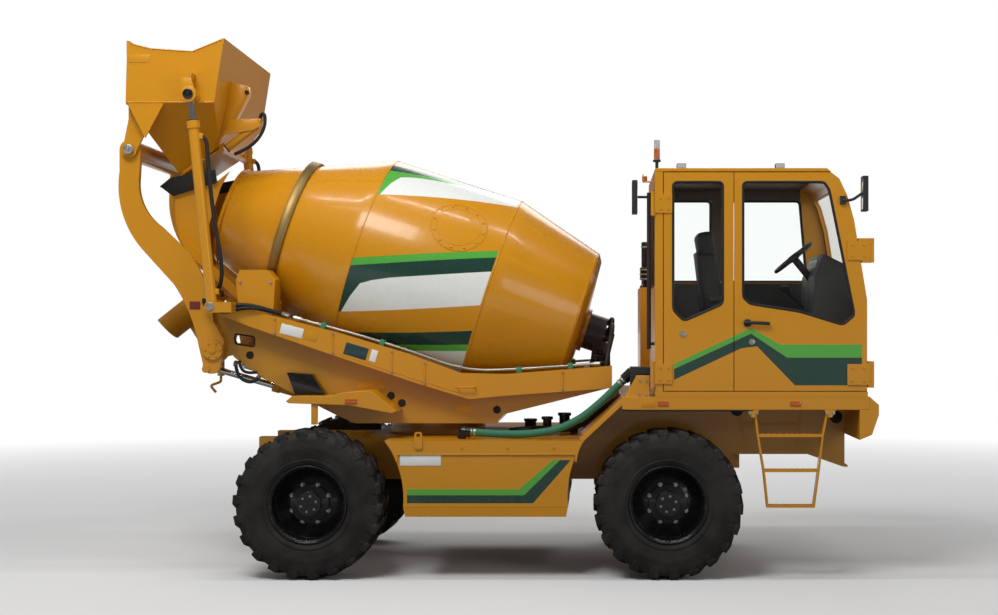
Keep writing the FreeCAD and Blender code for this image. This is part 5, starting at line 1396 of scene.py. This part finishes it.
    def controls(self) -> None:
        """Fit the wheel's boss, the gauges and the levers."""
        turn = math.radians(39)
        lean, hub = Vector((-math.sin(turn), 0.0, math.cos(turn))), Vector((2.418, SEAT_Y, 2.488))
        Maker().rod(hub + lean * 0.01, hub + lean * 0.024, 0.052, tip=0.044, bevel=0.004).piece(
            "steering_boss", "chassis", Finish.PLASTIC)
        face = Vector((-0.934, 0.0, 0.357))
        rims, dials, levers = Maker(), Maker(), Maker()
        for y in (-0.62, -0.46, -0.3):
            at = Vector((2.566, y, 2.412))
            rims.collar(at, face, 0.038, 0.05, -0.004, 0.012)
            dials.rod(at, at + face * 0.004, 0.038)
        rims.piece("gauge_rims", "chassis", Finish.ZINC)
        dials.piece("gauge_dials", "chassis", Finish.PLATE)
        for y, tip in ((-0.16, -0.04), (-0.22, -0.07), (-0.28, -0.1)):
            levers.rod((2.53, y, 2.08), (2.44 + tip, y, 2.24), 0.006)
            levers.ball((2.44 + tip, y, 2.25), 0.02)
        levers.piece("hydraulic_levers", "chassis", Finish.RUBBER)

    def fittings(self) -> None:
        """Hang the pedals and the windscreen's wiper."""
        pedals = Maker()
        for y in (-0.6, -0.32):
            pedals.plate((2.47, y, 1.56), (0.012, 0.075, 0.16), -35.0, 0.004)
            pedals.rod((2.475, y, 1.54), (2.53, y, 1.47), 0.012)
        pedals.piece("pedals", "chassis", Finish.RUBBER)
        y = -0.42
        wiper = Maker().side_pipe(y, ((2.905, 2.165), (2.862, 2.42), (2.828, 2.64)), 0.007)
        wiper.rod((2.89, y, 2.15), (2.915, y, 2.153), 0.022, bevel=0.003)
        wiper.rod((2.884, y, 2.26), (2.799, y, 2.76), 0.009, sides=8)
        wiper.piece("wiper", "chassis", Finish.RUBBER)


@dataclass
class Seat:
    """The driver's seat: bolstered cushions, a head rest and its pedestal."""

    x: float = 1.88
    half: float = 0.24

    def build(self) -> None:
        """Make the pads and what carries them."""
        pads = Maker()
        self.cushion(pads)
        self.back(pads)
        made = pads.piece("seat_pads", "seat", Finish.VINYL, smooth=60, stands_for=["seat"])
        self.base()

    @staticmethod
    def pad(maker: Maker, centre: Point, size: Point, bevel: float, lean: float = 0.0) -> None:
        """Add one pad with full, rounded edges, leaned in degrees."""
        turn = Matrix.Rotation(math.radians(lean), 4, "Y")
        maker.box(Matrix.Translation(centre) @ turn, size, bevel, 4)

    def cushion(self, maker: Maker) -> None:
        """Stuff the cushion: two bolsters beside a seat panel in three rolls."""
        for side in (1, -1):
            self.pad(maker, (self.x - 0.01, SEAT_Y + side * (self.half - 0.042), 1.932), (0.48, 0.08, 0.116), 0.034)
        for x, z in ((-0.16, 1.926), (0.0, 1.926), (0.158, 1.93)):
            self.pad(maker, (self.x + x, SEAT_Y, z), (0.158, 0.33, 0.108), 0.03)

    def back(self, maker: Maker) -> None:
        """Stuff the back rest: bolsters, four rolls and a head rest."""
        for side in (1, -1):
            self.pad(maker, (1.74, SEAT_Y + side * (self.half - 0.052), 2.245), (0.15, 0.078, 0.54), 0.036, -7)
        for z in (2.065, 2.225, 2.385, 2.5):
            self.pad(maker, (1.744 - (z - 2.225) * 0.12, SEAT_Y, z), (0.136, 0.31, 0.158), 0.034, -7)
        self.pad(maker, (1.698, SEAT_Y, 2.6), (0.138, 0.32, 0.18), 0.046, -10)

    def base(self) -> None:
        """Stand the seat on its pedestal, with a pan, a bellows and arm rests."""
        maker = Maker()
        maker.rod((self.x, SEAT_Y, 1.3965), (self.x, SEAT_Y, 1.438), 0.148, bevel=0.004)
        for i in range(6):
            z = 1.445 + 0.055 * i
            fold = [(0.0, z), (0.085, z), (0.112, z + 0.0275), (0.085, z + 0.055), (0.0, z + 0.055)]
            maker.turned(fold, (self.x, SEAT_Y, 0.0), UP, 32)
        maker.block((self.x - 0.23, SEAT_Y - 0.2, 1.77), (self.x + 0.22, SEAT_Y + 0.2, 1.872), 0.012)
        maker.plate((1.662, SEAT_Y, 2.25), (0.02, 0.38, 0.56), -7, 0.008)
        for side in (1, -1):
            at = SEAT_Y + side * 0.245
            maker.block((1.72, at - 0.022, 2.13), (1.99, at + 0.022, 2.172), 0.01)
            maker.rod((1.74, at, 2.15), (1.74, at - side * 0.06, 2.15), 0.014)
        maker.piece("seat_frame", "seat", Finish.PLASTIC)


class ChassisTrim:
    """What is fixed to the tanks, the deck, the platform and the engine's housing."""

    def build(self) -> None:
        """Make the chassis's pieces."""
        self.tank()
        self.hose_clamps()
        self.deck()
        self.steps()
        self.mounts()
        self.engine_side()
        self.axles()

    def tank(self) -> None:
        """Fix the tank's blank plate, its folds and their bolts."""
        Maker().block((-0.671, TANK_FACE - 0.003, 0.872), (-0.359, TANK_FACE, 0.952), 0.0008).piece(
            "tank_plate", "chassis", Finish.PLATE)
        fold = Maker()
        fold.side_pipe(TANK_FACE, ((-0.63, 0.562), (0.0, 0.562), (0.59, 0.562)), 0.0035)
        fold.side_pipe(NEAR, ((-0.69, 0.958), (0.0, 0.958), (0.66, 0.958)), 0.004)
        fold.side_bolts(NEAR, [(x, 1.01) for x in (-0.55, -0.2, 0.15, 0.5)], 0.009, 0.008)
        fold.mirrored().piece("tank_folds", "chassis", Finish.TANK)

    def hose_clamps(self) -> None:
        """Clamp the suction hose at both its ends."""
        clamps = Maker()
        for at, way in (((-0.15, -0.97, 1.112), (0.21, -0.002, -0.014)), ((-0.12, -0.97, 1.11), (0.21, -0.002, -0.014)),
                        ((1.01, -0.969, 1.491), (0.16, -0.004, 0.158)), ((1.034, -0.97, 1.514), (0.16, -0.004, 0.158))):
            clamps.collar(at, way, 0.0305, 0.033, -0.008, 0.008)
        clamps.piece("hose_clamps", "chassis", Finish.ZINC)

    def deck(self) -> None:
        """Set bolts round the slew ring, hoses across the deck and the tanks' filler caps."""
        bolts, hoses, filler = Maker(), Maker(), Maker()
        for x, y in ring_points(28, 0.378):
            bolts.bolt((-0.5 + x * 1.006, y * 1.006, 1.1115), UP, 0.01, 0.0042)
        bolts.piece("slew_ring_bolts", "chassis", Finish.ZINC)
        for y, top in ((-0.33, 1.115), (-0.385, 1.105), (-0.44, 1.098)):
            hoses.pipe([(0.12, y, 1.09), (0.3, y - 0.02, top), (0.56, y - 0.05, top - 0.01), (0.7, y - 0.04, 1.12),
                        (0.9, y, 1.29), (1.03, y, 1.375)], 0.015)
        hoses.piece("deck_hoses", "chassis", Finish.HOSE_BLACK, smooth=60)
        for low, high, radius, sides in ((1.06, 1.105, 0.05, 24), (1.105, 1.128, 0.058, 12)):
            filler.rod((0.25, -0.62, low), (0.25, -0.62, high), radius, sides=sides, bevel=0.004)
        filler.mirrored().piece("filler_caps", "chassis", Finish.PLASTIC)

    def steps(self) -> None:
        """Stud the ladder's treads, and bolt its hangers and the cab's rear mounts."""
        grips, bolts = Maker(), Maker()
        for x0, x1, z in ((2.05, 2.556, 1.112), (2.096, 2.526, 0.844), (2.124, 2.49, 0.573)):
            for i in range(int((x1 - x0 - 0.06) / 0.045)):
                x = x0 + 0.045 + 0.045 * i
                for y in (-1.195, -1.165):
                    grips.rod((x, y, z - 0.001), (x, y, z + 0.0035), 0.008, tip=0.006, sides=10)
        grips.piece("tread_grips", "chassis", Finish.BODY)
        bolts.side_bolts(NEAR, [(x, 1.272) for x in (1.995, 2.045, 2.58, 2.63)], 0.01, 0.01)
        bolts.side_bolts(-1.2, ((1.15, 1.415), (1.205, 1.415), (1.205, 1.52), (1.16, 1.52)), 0.009, 0.009)
        bolts.piece("step_bolts", "chassis", Finish.ZINC)

    def mounts(self) -> None:
        """Set the black discs of the cab's mounts, and trim the platform's edge."""
        discs, edge = Maker(), Maker()
        for x, z in ((1.96, 1.26), (2.76, 1.2)):
            discs.boss((x, -0.452, z), 0.018, 0.05, bevel=0.006)
        discs.mirrored().piece("cab_mount_discs", "chassis", Finish.RUBBER)
        edge.side_pipe(-1.216, ((1.02, 1.3), (1.06, 1.292), (1.5, 1.292), (2.02, 1.292)), 0.006)
        edge.mirrored().piece("platform_edge_trim", "chassis", Finish.RUBBER)

    def engine_side(self) -> None:
        """Fit the housing's latches and ribs, and the bands of the exhaust and the air cleaner."""
        latches, bands, beads = Maker(), Maker(), Maker()
        for x in (1.52, 2.56):
            latches.block((x - 0.045, 1.219, 2.13), (x + 0.045, 1.236, 2.2), 0.005)
            latches.rod((x - 0.03, 1.24, 2.165), (x + 0.03, 1.24, 2.165), 0.008, bevel=0.001)
        latches.piece("hood_latches", "chassis", Finish.PLASTIC)
        for y, inner, outer, half, levels in ((0.62, 0.0622, 0.0655, 0.006, (2.345, 2.385, 2.425)),
                                              (0.98, 0.0402, 0.044, 0.008, (2.3, 2.64))):
            for z in levels:
                bands.collar((1.267, y, 0.0), UP, inner, outer, z - half, z + half, 40)
        bands.piece("stack_bands", "chassis", Finish.ZINC)
        for i in range(4):
            level = 1.64 + 0.16 * i
            beads.side_pipe(1.2195, ((1.4, level), (1.9, level), (2.44, level)), 0.006)
        beads.piece("housing_ribs", "chassis", Finish.BODY)

    def axles(self) -> None:
        """Bolt the differentials' covers."""
        bolts = Maker()
        for lead in (-1, 1):
            for a, b in ring_points(12, 0.11):
                bolts.bolt((-lead * (WHEELBASE / 2 + 0.148), a, TYRE_R + b), (-lead, 0, 0), 0.011, 0.012)
        bolts.piece("axle_cover_bolts", "chassis", Finish.ZINC)


def main() -> None:
    """Build the machine and the studio."""
    logging.basicConfig(level=logging.INFO, format="%(message)s")
    Maker.palette = Palette()
    Studio().build()
    take_over_castings()
    for end in End:
        for side in Side:
            Wheel(end, side).build()
    for trim in (DrumTrim(), TurretTrim(), LoaderTrim(), CabTrim(), Seat(), ChassisTrim()):
        trim.build()


if __name__ == "__main__":
    main()
